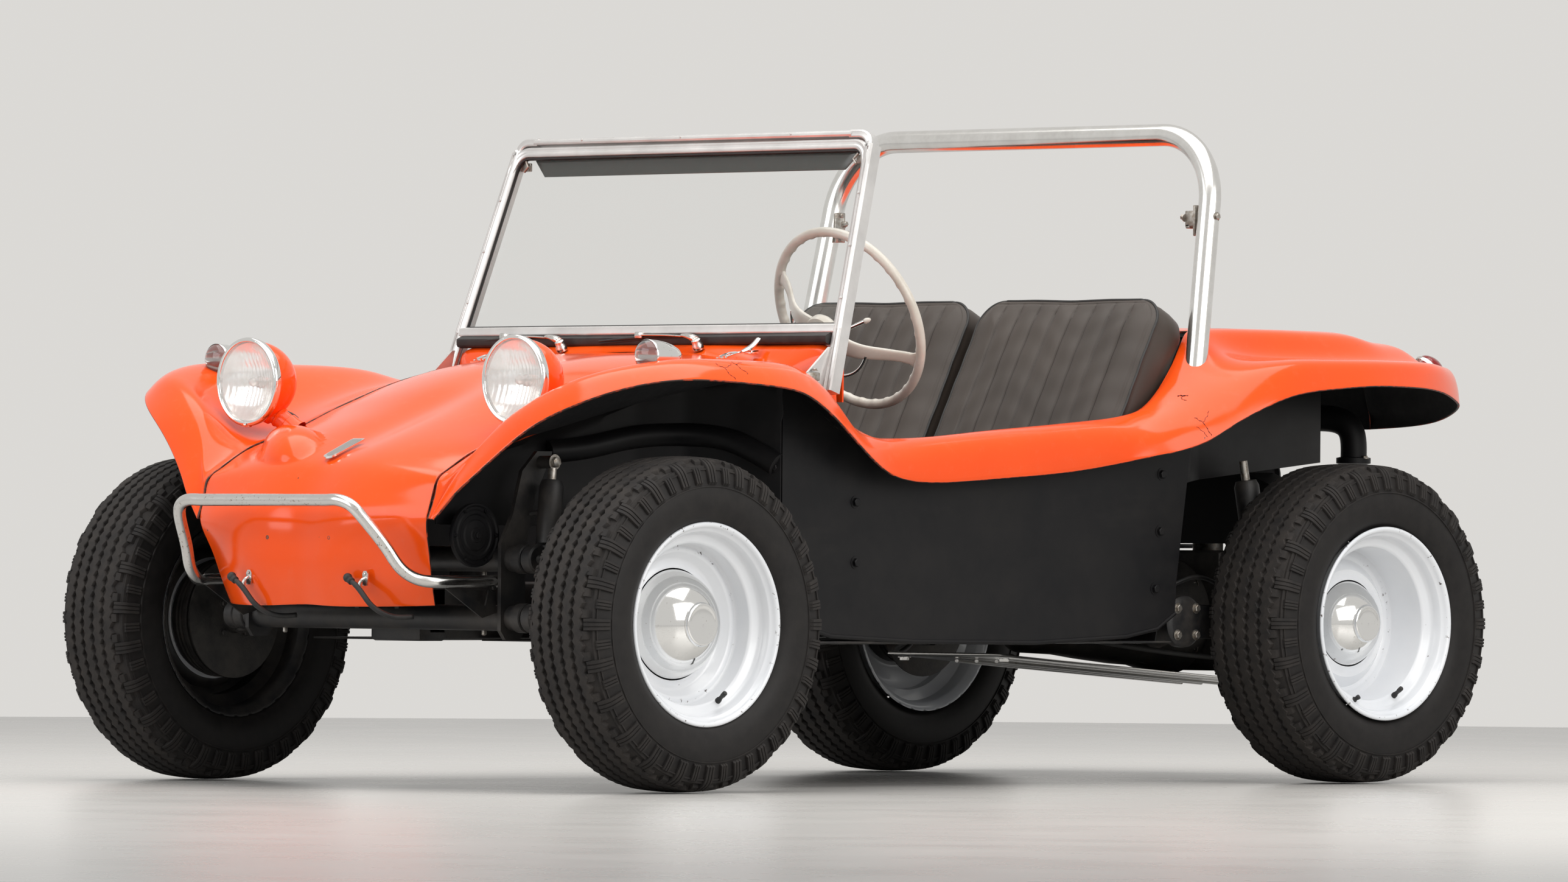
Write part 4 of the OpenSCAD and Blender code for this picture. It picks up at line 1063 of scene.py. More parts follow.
def make_brake(name, centre, side, seat, depth, body):
    """The finned brake drum behind the disc, its backing bolts and the hub."""
    shape = Shape()
    axis = Vector((side, 0, 0))
    r, face = seat[0], seat[1]
    profile = [(30, face - depth + 4), (r + 2, face - depth + 4), (r + 12, face - depth),
               (r + 13, face - depth + 6), (r + 8, face - depth + 8)]
    for k in range(3):
        z = face - depth + 10 + k * 11
        profile += [(r + 8, z), (r + 12, z + 1), (r + 12, z + 5), (r + 8, z + 6)]
    profile += [(r + 8, face - 12), (r - 6, face - 8), (40, face - 6)]
    shape.turned(profile, centre, axis, 72)
    for k in range(5):
        a = k * 2 * math.pi / 5 + 0.3
        place = Vector(centre) + axis * (face - depth - 2) + Vector((0, math.sin(a), math.cos(a))) * (r * 0.6)
        shape.bolt(place, -axis, 9, 7)
    return shape.piece(name, body, "cast_metal", [CAST], sharp=35)


def cap_profile(seat, height, boss):
    r, z = seat
    points = [(r + 3.5, z - 3), (r + 4, z - 1), (r + 2, z)]
    # The shoulder is part of a ball that meets the foot and the boss
    middle = (r * r - boss * boss - (height - 8) ** 2) / (2 * (height - 8))
    ball = math.hypot(r, middle)
    first, last = math.atan2(r, middle), math.atan2(boss + 1, middle + height - 8)
    for a in np.linspace(first, last, 18):
        points.append((ball * math.sin(a), z + ball * math.cos(a) - middle))
    top = z + height - 8
    points += [(boss + 2, top + 1.2), (boss + 0.5, top + 3), (boss, top + 6), (boss - 1.5, top + 7.6),
               (boss - 4, top + 8), (boss - 8, top + 7.2), (boss - 12, top + 6.8), (0.5, top + 7.6)]
    return points


def make_cap(name, centre, side, seat, height, boss, body):
    """A chromed hub cap with a plain round boss."""
    shape = Shape()
    shape.turned(cap_profile(seat, height, boss), centre, (side, 0, 0), 128)
    return shape.piece(name, body, "chrome", CHROME, sharp=55)


def make_valve(name, centre, side, half, angle, body, stub=False):
    """A rubber valve stem through the rim's slope, with its cap."""
    shape = Shape()
    c = np.asarray(centre, float)
    out = np.array((0, math.sin(angle), math.cos(angle)))
    foot = c + out * 172 + np.array((side, 0, 0)) * (half - 46)
    tip = foot + np.array((side, 0, 0)) * (14 if stub else 32) - out * (8 if stub else 20)
    path = [mixed(foot, tip, t) for t in (0, 0.25, 0.3, 0.62, 0.66, 0.95, 1)]
    shape.tube(path, [6.5, 6, 4.6, 4.2, 5.2, 5.2, 3.5], 14)
    return shape.piece(name, body, "rubber", RUBBER)


FRONT_HALF, REAR_HALF = 92.5, 112.5
FRONT_RING, FRONT_SEAT = (158, 6), (112, -9)
REAR_RING, REAR_SEAT = (151, -22), (91, 1)


def make_wheels():
    for tag, side, front, inside in (("fl", 1, True, FRAME_BLACK), ("fr", -1, True, FRAME_BLACK),
                                     ("rl", 1, False, WHITE), ("rr", -1, False, WHITE)):
        at = FRONT_WHEEL if front else REAR_WHEEL
        centre = (side * at.x, at.y - AXLE_Y, at.z)
        body = "wheel_" + tag
        r = FRONT_R if front else REAR_R
        half = FRONT_HALF if front else REAR_HALF
        ring, seat = (FRONT_RING, FRONT_SEAT) if front else (REAR_RING, REAR_SEAT)
        tyre = make_tyre("tyre_" + tag + "_tread", centre, side, r, 104 if front else 116,
                         84 if front else 95, body)
        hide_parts("tyre_" + tag)
        rim = make_rim("rim_" + tag + "_wheel", centre, side, half, ring, seat, body, inside)
        make_brake("drum_" + tag, centre, side, seat, 62 if front else 80, body)
        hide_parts("rim_" + tag)
        cap = make_cap("cap_" + tag + "_chrome", centre, side, seat, 88 if front else 59,
                       43.5 if front else 38.5, body)
        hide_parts("cap_" + tag)
        make_valve("valve_" + tag, centre, side, half, math.radians(155), body)
        if not front:
            make_valve("valve_stub_" + tag, centre, side, half, math.radians(198), body, stub=True)


make_wheels()


# ---- lamps, bumper and the fittings on the nose ----

def frame_at(place, axis, up=(0, 0, 1)):
    """A matrix whose z runs along axis and whose y is as near to up as it can be."""
    z = Vector(axis).normalized()
    x = Vector(up).cross(z).normalized()
    y = z.cross(x)
    m = Matrix.Identity(4)
    for k, v in enumerate((x, y, z)):
        m[0][k], m[1][k], m[2][k] = v
    m.translation = Vector(place)
    return m


def moved(points, matrix):
    return [tuple(matrix @ Vector(p)) for p in points]


LAMP = (402, -169, 834)
LAMP_R = 92.5


def make_headlight(side, tag):
    """A round lamp in a painted bowl: chromed ring, fluted lens over a reflector and bulb, stalk."""
    centre = (side * LAMP[0], LAMP[1], LAMP[2])
    ahead = (0, -1, 0)
    bowl = Shape()
    profile = [(LAMP_R - 10, -10), (LAMP_R - 8.5, -16)]
    for a in np.linspace(8, 90, 16):
        t = math.radians(a)
        profile.append(((LAMP_R - 8) * math.cos(t) + 0.01, -22 - (LAMP_R - 3) * math.sin(t)))
    bowl.turned(profile, centre, ahead, 72)
    stalk_top = Vector((side * (LAMP[0] - 30), LAMP[1] + 46, LAMP[2] - 62))
    stalk_low = Vector((side * (LAMP[0] - 92), LAMP[1] + 72, 722))
    way = (stalk_low - stalk_top).normalized()
    bowl.turned([(30, -6), (27, 6), (21, 10), (20.5, 16), (22.5, 18), (22.5, 21), (20.5, 23), (20.5, 40),
                 (23.5, 42), (24, 62), (26, 70)], stalk_top, way, 40)
    bowl.piece("headlight_bowl_" + tag, "hood_lid", "body_paint", PAINT, sharp=40)

    ring = Shape()
    ring.turned([(LAMP_R - 11, -14), (LAMP_R - 3, -14.5), (LAMP_R - 1.6, -12), (LAMP_R - 0.4, -6),
                 (LAMP_R, -1), (LAMP_R - 0.8, 2), (LAMP_R - 3, 4.4), (LAMP_R - 6, 5), (LAMP_R - 8.6, 3.6),
                 (LAMP_R - 10, 0.5), (LAMP_R - 11, -4), (LAMP_R - 12, -6)], centre, ahead, 96)
    ring.bolt(Vector(centre) + Vector((side * -28, -2, LAMP_R - 10)), ahead, 2.6, 2, washer=False)
    ring.block((centre[0], centre[1] + 4, centre[2] - LAMP_R + 2), (14, 10, 7), bevel=1.5)
    ring.bolt((centre[0], centre[1] - 6, centre[2] - LAMP_R + 3), ahead, 3, 3)
    ring.piece("headlight_ring_" + tag, "hood_lid", "chrome", CHROME, sharp=50)

    dish = Shape()
    m = frame_at(centre, ahead)
    rows = []
    for q in np.linspace(0.001, 1, 26):
        row = []
        for a in np.linspace(0, 2 * math.pi, 96, endpoint=False):
            x, y = q * 81 * math.cos(a), q * 81 * math.sin(a)
            band = 1.3 * math.sin(x * 0.62) + 0.8 * math.sin(y * 0.16 + 0.6)
            row.append((x, y, -38 + 33 * q * q + band * min(1, q * 2) * (1 - q ** 8)))
        rows.append(moved(row, m))
    dish.grid(rows, close_v=True)
    dish.piece("headlight_reflector_" + tag, "hood_lid", "chrome", REFLECTOR, sharp=0)

    bulb = Shape()
    bulb.turned([(0.2, -8), (7, -10), (10, -17), (9, -25), (6, -31), (12, -33), (13, -38)], centre, ahead, 24)
    bulb.piece("headlight_bulb_" + tag, "hood_lid", "lamp_glass", BULB, sharp=0)

    lens = Shape()
    rows = []
    for q in np.linspace(0.001, 1, 40):
        row = []
        for a in np.linspace(0, 2 * math.pi, 160, endpoint=False):
            x, y = q * 82 * math.cos(a), q * 82 * math.sin(a)
            fade = min(1, (1 - q) * 9)
            flute = 0.55 * abs(math.sin(x * 0.42)) + (0.5 * abs(math.sin(y * 0.13)) if abs(x) > 30 else 0.2)
            row.append((x, y, 13.5 * (1 - q * q) ** 0.8 - 1.0 - flute * fade))
        rows.append(moved(row, m))
    lens.grid(rows, close_v=True)
    lens.piece("headlight_lens_" + tag, "hood_lid", "lamp_glass", LAMP_LENS, sharp=0)

    if side < 0:
        wire = Shape()
        path = spline([(side * 352, -104, 772), (side * 345, -84, 762), (side * 336, -74, 744),
                       (side * 330, -70, 728), (side * 326, -72, 716)], 6)
        wire.tube(path, [3.2 + 0.5 * (k % 2) for k in range(len(path))], 10)
        wire.piece("headlight_wire_" + tag, "hood_lid", "black_plastic", VINYL, sharp=0)


def make_turn_signal(side, tag):
    centre = (side * 649, -33, 884)
    ahead = (0, -1, 0)
    body = Shape()
    body.turned([(33, 1), (34, -1), (33.5, -5), (32.6, -12), (31.6, -28), (29, -46), (24.5, -64),
                 (17.5, -81), (9, -92), (0.2, -97)], centre, ahead, 56)
    body.piece("turn_signal_body_" + tag, "chassis", "chrome", CHROME, sharp=40)
    lens = Shape()
    rows = []
    m = frame_at(centre, ahead)
    for q in np.linspace(0.001, 1, 16):
        rows.append(moved([(q * 32 * math.cos(a), q * 32 * math.sin(a),
                            17 * (1 - q ** 2.4) ** 0.75 + 0.5 * abs(math.sin(a * 24)) * q)
                           for a in np.linspace(0, 2 * math.pi, 96, endpoint=False)], m))
    lens.grid(rows, close_v=True)
    lens.piece("turn_signal_lens_" + tag, "chassis", "lamp_glass", CLEAR_LENS, sharp=0)
    pad = Shape()
    pad.turned([(0.5, 6), (20, 6), (25, 3), (27, -6), (27, -16)], (side * 649, 12, 853), (0, 0, 1), 40)
    pad.piece("turn_signal_pad_" + tag, "chassis", "rubber", RUBBER, sharp=40)


def make_tail_lamp(side, tag):
    centre = Vector((side * 474, 2531, 897))
    axis = Vector((side * 0.28, 0.66, 0.70)).normalized()
    base = Shape()
    base.turned([(38, -6), (39, -1), (37.5, 2), (34.5, 3)], centre, axis, 56)
    base.piece("tail_lamp_rim_" + tag, "chassis", "chrome", WORN_CHROME, sharp=40)
    lens = Shape()
    m = frame_at(centre + axis * 2, axis)
    rows = []
    for q in np.linspace(0.001, 1, 18):
        rows.append(moved([(q * 35.5 * math.cos(a), q * 35.5 * math.sin(a),
                            21 * (1 - q ** 2.2) ** 0.6 + 0.4 * math.sin(q * 44))
                           for a in np.linspace(0, 2 * math.pi, 72, endpoint=False)], m))
    lens.grid(rows, close_v=True)
    lens.piece("tail_lamp_lens_" + tag, "chassis", "lamp_red", RED_LENS, sharp=0)


BUMPER = [(0, -488, 587), (225, -488, 587), (256, -482, 577), (276, -467, 552), (302, -424, 490),
          (318, -400, 450), (336, -368, 428), (358, -330, 423), (362, -176, 425)]


def make_bumper():
    """The chromed tube bumper, its back ends let into gussets on the beam."""
    r = 12.7
    half = [np.array(p, float) for p in BUMPER[1:]]
    path = spline([(150, -488, 587), (190, -488, 587)] + [tuple(p) for p in half], 8)
    path = [p for p in path if p[0] >= 190]
    full = [(-p[0], p[1], p[2]) for p in path[::-1]] + [(x, -488, 587) for x in (-120, -60, 0, 60, 120)] \
        + [tuple(p) for p in path]
    shape = Shape()
    shape.tube(full, r, 28)
    made = shape.piece("bumper_tube", "chassis", "chrome", WORN_CHROME, sharp=50)
    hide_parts("front_bumper")
    gusset = Shape()
    for side in (1, -1):
        outline = [(-330, 418), (-176, 418), (-176, 360), (-214, 350)]
        hole = [(-272, 406), (-196, 406), (-205, 374)]
        low = [(side * 358, y, z) for y, z in outline + hole]
        high = [(side * 362, y, z) for y, z in outline + hole]
        faces = []
        links = [(0, 1, 5, 4), (1, 2, 6, 5), (2, 3, 6), (3, 0, 4, 6)]
        for f in links:
            faces.append(f)
            faces.append(tuple(i + 7 for i in f)[::-1])
        for k in range(4):
            faces.append((k, (k + 1) % 4, 7 + (k + 1) % 4, 7 + k))
        for k in range(3):
            a, b = 4 + k, 4 + (k + 1) % 3
            faces.append((b, a, a + 7, b + 7))
        gusset.add(low + high, faces)
        gusset.bolt((side * 363, -186, 412), (side, 0, 0), 6, 5)
        gusset.bolt((side * 363, -300, 416), (side, 0, 0), 5, 4)
    gusset.piece("bumper_gussets", "chassis", "frame_paint", FRAME_BLACK, sharp=30)


def make_horn():
    centre = (345, -222, 518)
    shape = Shape()
    axis = (1, 0, 0)
    shape.turned([(0.2, 9), (14, 9), (16, 7), (30, 6), (33, 3), (41, 3), (44, 5.5), (50, 5.5), (53, 3),
                  (58, 3), (61, 6), (64.5, 6), (65.5, 3), (65, -4), (61, -7), (50, -13), (40, -30),
                  (36, -36), (0.2, -36)], centre, axis, 72)
    for k in range(6):
        a = k * math.pi / 3
        shape.bolt((centre[0] + 5, centre[1] + 57 * math.cos(a), centre[2] + 57 * math.sin(a)), axis, 3, 3)
    shape.bolt((centre[0] + 9, centre[1], centre[2]), axis, 7, 5)
    shape.tube(spline([(centre[0] - 30, centre[1] + 20, centre[2] - 20), (300, -180, 492), (290, -152, 478)], 8),
               9, 12)
    made = shape.piece("horn_disc", "chassis", "horn_metal", SATIN, sharp=35)
    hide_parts("horn")


def make_nose_fittings():
    plate = Shape()
    slope = Vector((0, 100, 42)).normalized()
    normal = Vector((0, -slope.z, slope.y))
    origin = Vector((0, -266, 690)) + normal * 3
    outline = [(16 * math.cos(a), -34 + 17 * math.sin(a)) for a in np.linspace(math.pi, 2 * math.pi, 12)]
    outline += [(19, 44), (17, 50), (-17, 50), (-19, 44)]
    plate.plate(outline, origin, (1, 0, 0), slope, 3.5)
    inner = [(x * 0.80, y * 0.86 + 1) for x, y in outline]
    plate.mat = 1
    plate.plate(inner, origin + normal * 3.0, (1, 0, 0), slope, 1.0)
    plate.piece("nose_plate", "hood_lid", "chrome", [CHROME, DULL_CHROME], sharp=30)

    screws = Shape()
    for x in (-83, 103):
        screws.turned([(4.2, -2), (4.2, 0.6), (2.8, 1.2), (2.4, 0.2), (0.1, 0.2)], (x, -399.6, 511),
                      (0, -1, 0.02), 16)
    screws.piece("nose_screws", "hood_lid", "chrome", RUST, sharp=30)

    for tag, x in (("right", -154), ("left", 193)):
        y = -388 if x < 0 else -385
        hook = Shape()
        hook.plate([(-7, -10), (7, -10), (8, 14), (4, 20), (-4, 20), (-8, 14)], (x + 8, y - 2.5, 424),
                   (1, 0, 0), (0, 0, 1), 2.5)
        hook.tube(spline([(x + 8, y - 4, 430), (x + 6, y - 14, 424), (x + 4, y - 17, 414),
                          (x + 5, y - 13, 406)], 6), 3.2, 10)
        hook.bolt((x + 8, y - 5, 438), (0, -1, 0), 3, 2, washer=False)
        hook.piece("strap_hook_" + tag, "hood_lid", "chrome", WORN_CHROME, sharp=40)
        strap = Shape()
        path = spline([(x + 76, y + 66, 352), (x + 56, y + 26, 352), (x + 36, y - 9, 372),
                       (x + 16, y - 17, 396), (x - 2, y - 21, 415), (x - 18, y - 21, 424)], 7)
        strap.tube(path, [7.0] * 30 + [6.4] * (len(path) - 30) if len(path) > 30 else 6.6, 14, flat=0.8)
        strap.ball((x - 27, y - 20, 430), 9.6, steps=24)
        strap.tube([(x - 22, y - 21, 427), (x - 14, y - 21, 422)], 7.8, 14)
        strap.piece("hold_down_strap_" + tag, "chassis", "rubber", RUBBER, sharp=0)


for side, tag in ((1, "left"), (-1, "right")):
    make_headlight(side, tag)
    make_turn_signal(side, tag)
    make_tail_lamp(side, tag)
make_bumper()
make_horn()
make_nose_fittings()
for node, name in (("headlights", "headlight_bowl_left"), ("turn_signals", "turn_signal_body_left"),
                   ("tail_lamps", "tail_lamp_lens_left")):
    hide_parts(node)


# ---- windshield, roll bar and toggles ----

def sweep(shape, path, section, normal, closed=False):
    """A section of (across, along normal) swept along a path that lies in one plane."""
    p = np.array([tuple(q) for q in path], float)
    normal = unit(normal)
    if closed:
        t = np.roll(p, -1, 0) - np.roll(p, 1, 0)
    else:
        t = np.gradient(p, axis=0)
    t /= np.linalg.norm(t, axis=1)[:, None]
    across = np.cross(t, normal)
    rings = []
    for k in range(len(p)):
        rings.append([p[k] + across[k] * a + normal * b for a, b in section])
    shape.grid(rings, close_u=closed, close_v=True)
    if not closed:
        m = len(section)
        start = len(shape.verts) - len(p) * m
        shape.faces.append(tuple(start + i for i in range(m))[::-1])
        shape.faces.append(tuple(start + (len(p) - 1) * m + i for i in range(m)))
        shape.mats.extend([shape.mat] * 2)
    return shape


def rounded_box(a, b, r, steps=4):
    """A rounded rectangle section, half a by half b."""
    out = []
    for cx, cy, first in ((a - r, b - r, 0), (-a + r, b - r, 90), (-a + r, -b + r, 180), (a - r, -b + r, 270)):
        for k in range(steps + 1):
            t = math.radians(first + 90 * k / steps)
            out.append((cx + r * math.cos(t), cy + r * math.sin(t)))
    return out


LEAN = unit((0, 119, 360))
PANE_NORMAL = np.array((0, -LEAN[2], LEAN[1]))


def on_pane(x, z, out=0.0):
    """A point on the windshield's plane at a height, out ahead of it."""
    return np.array((x, 603 + (z - 960) * 119 / 360, z)) + PANE_NORMAL * out


def half_pane(z):
    return 559 - 0.1 * (z - 960)


def make_windshield():
    shape = Shape()
    # Inner channel: up both sides and round the top corners, then the bottom rail
    path = [on_pane(half_pane(z) + 10, z) for z in np.linspace(948, 1290, 12)]
    top_z, r = 1336, 40
    for a in np.linspace(0, 90, 9)[1:]:
        t = math.radians(a)
        path.append(on_pane(half_pane(top_z) + 10 - r + r * math.cos(t), top_z - r + r * math.sin(t)))
    path += [on_pane(x, top_z) for x in np.linspace(half_pane(top_z) - 60, 0, 10)]
    path += [np.array((-p[0], p[1], p[2])) for p in path[-2::-1]]
    channel = [(-11, -8), (-11, 6), (-9, 8.5), (-5, 9.5), (-2, 8), (1, 8), (4, 10), (8, 9.5), (10.5, 7.5),
               (11, 5), (11, -8)]
    sweep(shape, path, [(-a, b) for a, b in channel], PANE_NORMAL)
    rail = [on_pane(x, 949) for x in np.linspace(-half_pane(949) - 4, half_pane(949) + 4, 24)]
    sweep(shape, rail, rounded_box(11, 11, 6), PANE_NORMAL)
    # Outer posts: boxed channel with two grooves down its outer face
    for s in (1, -1):
        low, high = np.array((s * 581, 562, 818)), np.array((s * 528, 738, 1352))
        section = [(-13, -15), (-13, 11), (-10, 14), (-5, 15), (-4, 12), (-2, 12), (-1, 15), (5, 15), (8, 14),
                   (13, 10), (13, 4), (10, 3), (10, 0), (13, -1), (13, -13), (10, -15)]
        section = [(-s * a, b) for a, b in section]
        sweep(shape, [mixed(low, high, t) for t in np.linspace(0, 0.965, 14)], section, PANE_NORMAL)
        # Rounded corner cap over the post's end, with its screw
        corner = [mixed(low, high, t) for t in (0.955, 0.97)]
        for a in np.linspace(10, 90, 8):
            t = math.radians(a)
            corner.append(np.array((s * (497 + 30 * math.cos(t)), 736 + 3 * math.sin(t), 1334 + 22 * math.sin(t))))
        corner.append(np.array((s * 470, 739, 1356)))
        sweep(shape, corner, [(-s * a, b) for a, b in rounded_box(9, 15, 5)], PANE_NORMAL)
        shape.bolt((s * 538, 718, 1318), (s, 0, 0.1), 5, 4, washer=False)
        for z in (1010, 1120, 1230):
            post = mixed(low, high, (z - 818) / 534)
            shape.bolt(post + PANE_NORMAL * 15, PANE_NORMAL, 3.2, 1.6, washer=False)
        # Gusset in front of the post's foot
        shape.plate([(566, 824), (594, 914), (570, 912), (492, 846), (500, 826)], (s * 568 - 3, 0, 0),
                    (0, 1, 0), (0, 0, 1), 6)
        bead = [(s * 574, 570 + 26 * t, 836 + 72 * t) for t in np.linspace(0, 1, 30)]
        shape.tube(bead, [4.6 + 1.5 * math.sin(k * 2.1) for k in range(30)], 10)
        shape.bolt((s * 572, 520, 848), (s, 0, 0), 6, 5)
    # Top trim, with a bead along its front edge
    trim = [np.array((x, 737, 1357)) for x in np.linspace(-478, 478, 30)]
    sweep(shape, trim, [(-7, -15), (6, -15), (8, -12), (8, 8), (7, 13), (4, 15.5), (0, 15.5), (-3, 13), (-4, 9),
                        (-7, 8)], PANE_NORMAL)
    for x in (-30, 300, -330):
        shape.bolt(np.array((x, 737, 1357)) + PANE_NORMAL * 15, PANE_NORMAL, 3, 1.6, washer=False)
    made = shape.piece("windshield_channel", "chassis", "alloy", ALUMINIUM, sharp=32)
    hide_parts("windshield_frame")

    seal = Shape()
    base = [(x, 592 - 8 * (x / 560) ** 2, 930) for x in np.linspace(-556, 556, 40)]
    sweep(seal, base, [(-12, -14), (12, -12), (13, -4), (10, 8), (6, 11), (-6, 11), (-9, 6), (-14, -6)],
          (0, -1, 0))
    gasket = [p + PANE_NORMAL * -1 for p in [on_pane(half_pane(z) - 2.5, z) for z in np.linspace(958, 1290, 12)]]
    for a in np.linspace(0, 90, 8)[1:]:
        t = math.radians(a)
        gasket.append(on_pane(half_pane(1324) - 2 - 28 + 28 * math.cos(t), 1324 - 28 + 28 * math.sin(t), -1))
    gasket += [on_pane(x, 1324, -1) for x in np.linspace(half_pane(1324) - 50, 0, 8)]
    gasket += [np.array((-p[0], p[1], p[2])) for p in gasket[-2::-1]]
    sweep(seal, gasket, rounded_box(2.6, 4.5, 1.5, 2), PANE_NORMAL)
    sweep(seal, [on_pane(x, 960.5, -1) for x in np.linspace(-555, 555, 20)], rounded_box(2.4, 4.5, 1.5, 2),
          PANE_NORMAL)
    for s in (1, -1):
        seal.block((s * 573, 505, 842), (16, 26, 30), bevel=4)
    seal.piece("windshield_seal", "chassis", "rubber", RUBBER, sharp=40)

    bracket = Shape()
    for s in (1, -1):
        bracket.block((s * 580, 512, 850), (12, 34, 18), bevel=3)
        bracket.bolt((s * 578, 520, 862), (0, 0, 1), 5, 4)
        # Visor clips at the top corners
        bracket.block((s * 505, 728, 1306), (30, 6, 18), bevel=2)
        bracket.tube([(s * 500, 722, 1318), (s * 490, 718, 1306), (s * 500, 716, 1296)], 3, 10)
    bracket.piece("windshield_brackets", "chassis", "alloy", ZINC, sharp=35)


def make_wipers():
    """Two arms with ribbed blades, each parked along the seal from a pivot in the cowl."""
    arms, blades = Shape(), Shape()
    for x, reach in ((-216, 188), (196, 188)):
        y, z = 556, 917
        arms.turned([(12, -8), (12, 2), (10, 5), (10, 13), (7, 16), (0.2, 16)], (x, y, z), (0, -0.5, 1), 24)
        knuckle = spline([(x, y - 6, z + 14), (x - 22, y - 4, z + 20), (x - 48, y + 3, z + 22)], 6)
        arms.tube(knuckle, np.interp(np.linspace(0, 1, len(knuckle)), [0, 0.2, 1], [9, 10.5, 5.5]), 14, flat=0.7)
        arm = spline([(x - 44, y + 3, z + 20), (x - 110, y + 10, z + 23), (x - reach, y + 16, z + 24)], 6)
        arms.tube(arm, 4.2, 10, flat=0.5)
        arms.block((x - reach - 4, y + 16, z + 24), (22, 9, 14), bevel=3)
        blades.tube([(x - reach - 132, y + 22, z + 12), (x - reach, y + 21, z + 20), (x - reach + 144, y + 20, z + 25)],
                    [2.0, 3.4, 2.0], 8)
        blades.tube([(x - reach - 128, y + 25, z + 8), (x - reach, y + 25, z + 16), (x - reach + 140, y + 24, z + 21)],
                    2.6, 8)
    made = arms.piece("wiper_arms", "chassis", "chrome", WORN_CHROME, sharp=40)
    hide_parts("wipers")
    blades.piece("wiper_blades", "chassis", "rubber", RUBBER, sharp=40)


def make_roll_bar():
    """The planar hoop of 48 mm tube, leaning back a little less than 11 degrees."""
    lean = math.radians(10.8)

    def at(x, z, y=0.0):
        return np.array((x, 1750 + z * math.sin(lean) + y * math.cos(lean), 1388 + z * math.cos(lean)
                         - y * math.sin(lean)))

    half = [at(x, 0) for x in np.linspace(0, 402, 8)]
    half += [at(402 + 165 * math.sin(math.radians(a)), -165 + 165 * math.cos(math.radians(a)))
             for a in np.linspace(0, 90, 19)[1:]]
    half += [at(567 + 27 * t, -165 - 375 * t) for t in np.linspace(0, 1, 10)[1:]]
    path = [np.array((-p[0], p[1], p[2])) for p in half[:0:-1]] + half
    shape = Shape()
    shape.tube(path, 24, 48)
    made = shape.piece("roll_bar_hoop", "chassis", "chrome", HOOP, sharp=50)
    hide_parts("roll_bar")
    fitting = Shape()
    for s in (1, -1):
        c = at(s * 567, -190)
        inward = Vector((-s, 0, 0))
        place = Vector(c) + inward * 24
        fitting.block(place + inward * 3, (5, 30, 66), bevel=2)
        fitting.block(place + Vector((-s * 16, -12, 4)), (26, 4, 34), bevel=1.5)
        fitting.block(place + Vector((-s * 22, -4, -12)), (12, 20, 10), bevel=2)
        for dz in (-26, 26):
            fitting.bolt(place + inward * 5.5 + Vector((0, 0, dz)), inward, 5, 5)
        fitting.bolt(place + Vector((-s * 28, -14, 6)), (-s, 0, 0.2), 6, 10)
        fitting.bolt(Vector(c) + Vector((s * 24, 2, 8)), (s, 0, 0), 7, 6)
    fitting.piece("roll_bar_brackets", "chassis", "cast_metal", ZINC, sharp=35)


def make_toggles():
    """Chromed over-centre toggles that hold the lid's rear corners down."""
    for s, tag in ((1, "left"), (-1, "right")):
        shape = Shape()
        catch = (s * 366, 472, 886)
        shape.plate([(-13, -26), (13, -26), (13, 16), (8, 24), (-8, 24), (-13, 16)], catch, (1, 0, 0),
                    (0, 0.995, 0.1), 2.5)
        for dx in (-7, 7):
            shape.bolt((catch[0] + dx, catch[1] - 18, catch[2] + 1), (0, 0, 1), 3, 2, washer=False)
        shape.tube(spline([(catch[0] - 10, 462, 891), (catch[0] - 10, 490, 899), (catch[0] - 6, 508, 901)], 5), 2.6, 8)
        shape.tube(spline([(catch[0] + 10, 462, 891), (catch[0] + 10, 490, 899), (catch[0] + 6, 508, 901)], 5), 2.6, 8)
        shape.piece("lid_catch_" + tag, "hood_lid", "chrome", CHROME, sharp=40)
        lever = Shape()
        path = spline([(s * 366, 516, 902), (s * 366, 534, 908), (s * 366, 552, 918), (s * 366, 566, 930)], 5)
        lever.tube(path, np.interp(np.linspace(0, 1, len(path)), [0, 0.3, 1], [5, 9, 7]), 14, flat=0.55)
        lever.block((s * 366, 546, 902), (24, 22, 8), bevel=2)
        lever.piece("lid_lever_" + tag, "chassis", "chrome", CHROME, sharp=40)


make_windshield()
make_wipers()
make_roll_bar()
make_toggles()


# ---- cockpit ----

COLUMN = Vector((0, math.cos(math.radians(23.5)), math.sin(math.radians(23.5))))
WHEEL_CENTRE = Vector((300, 901, 980))


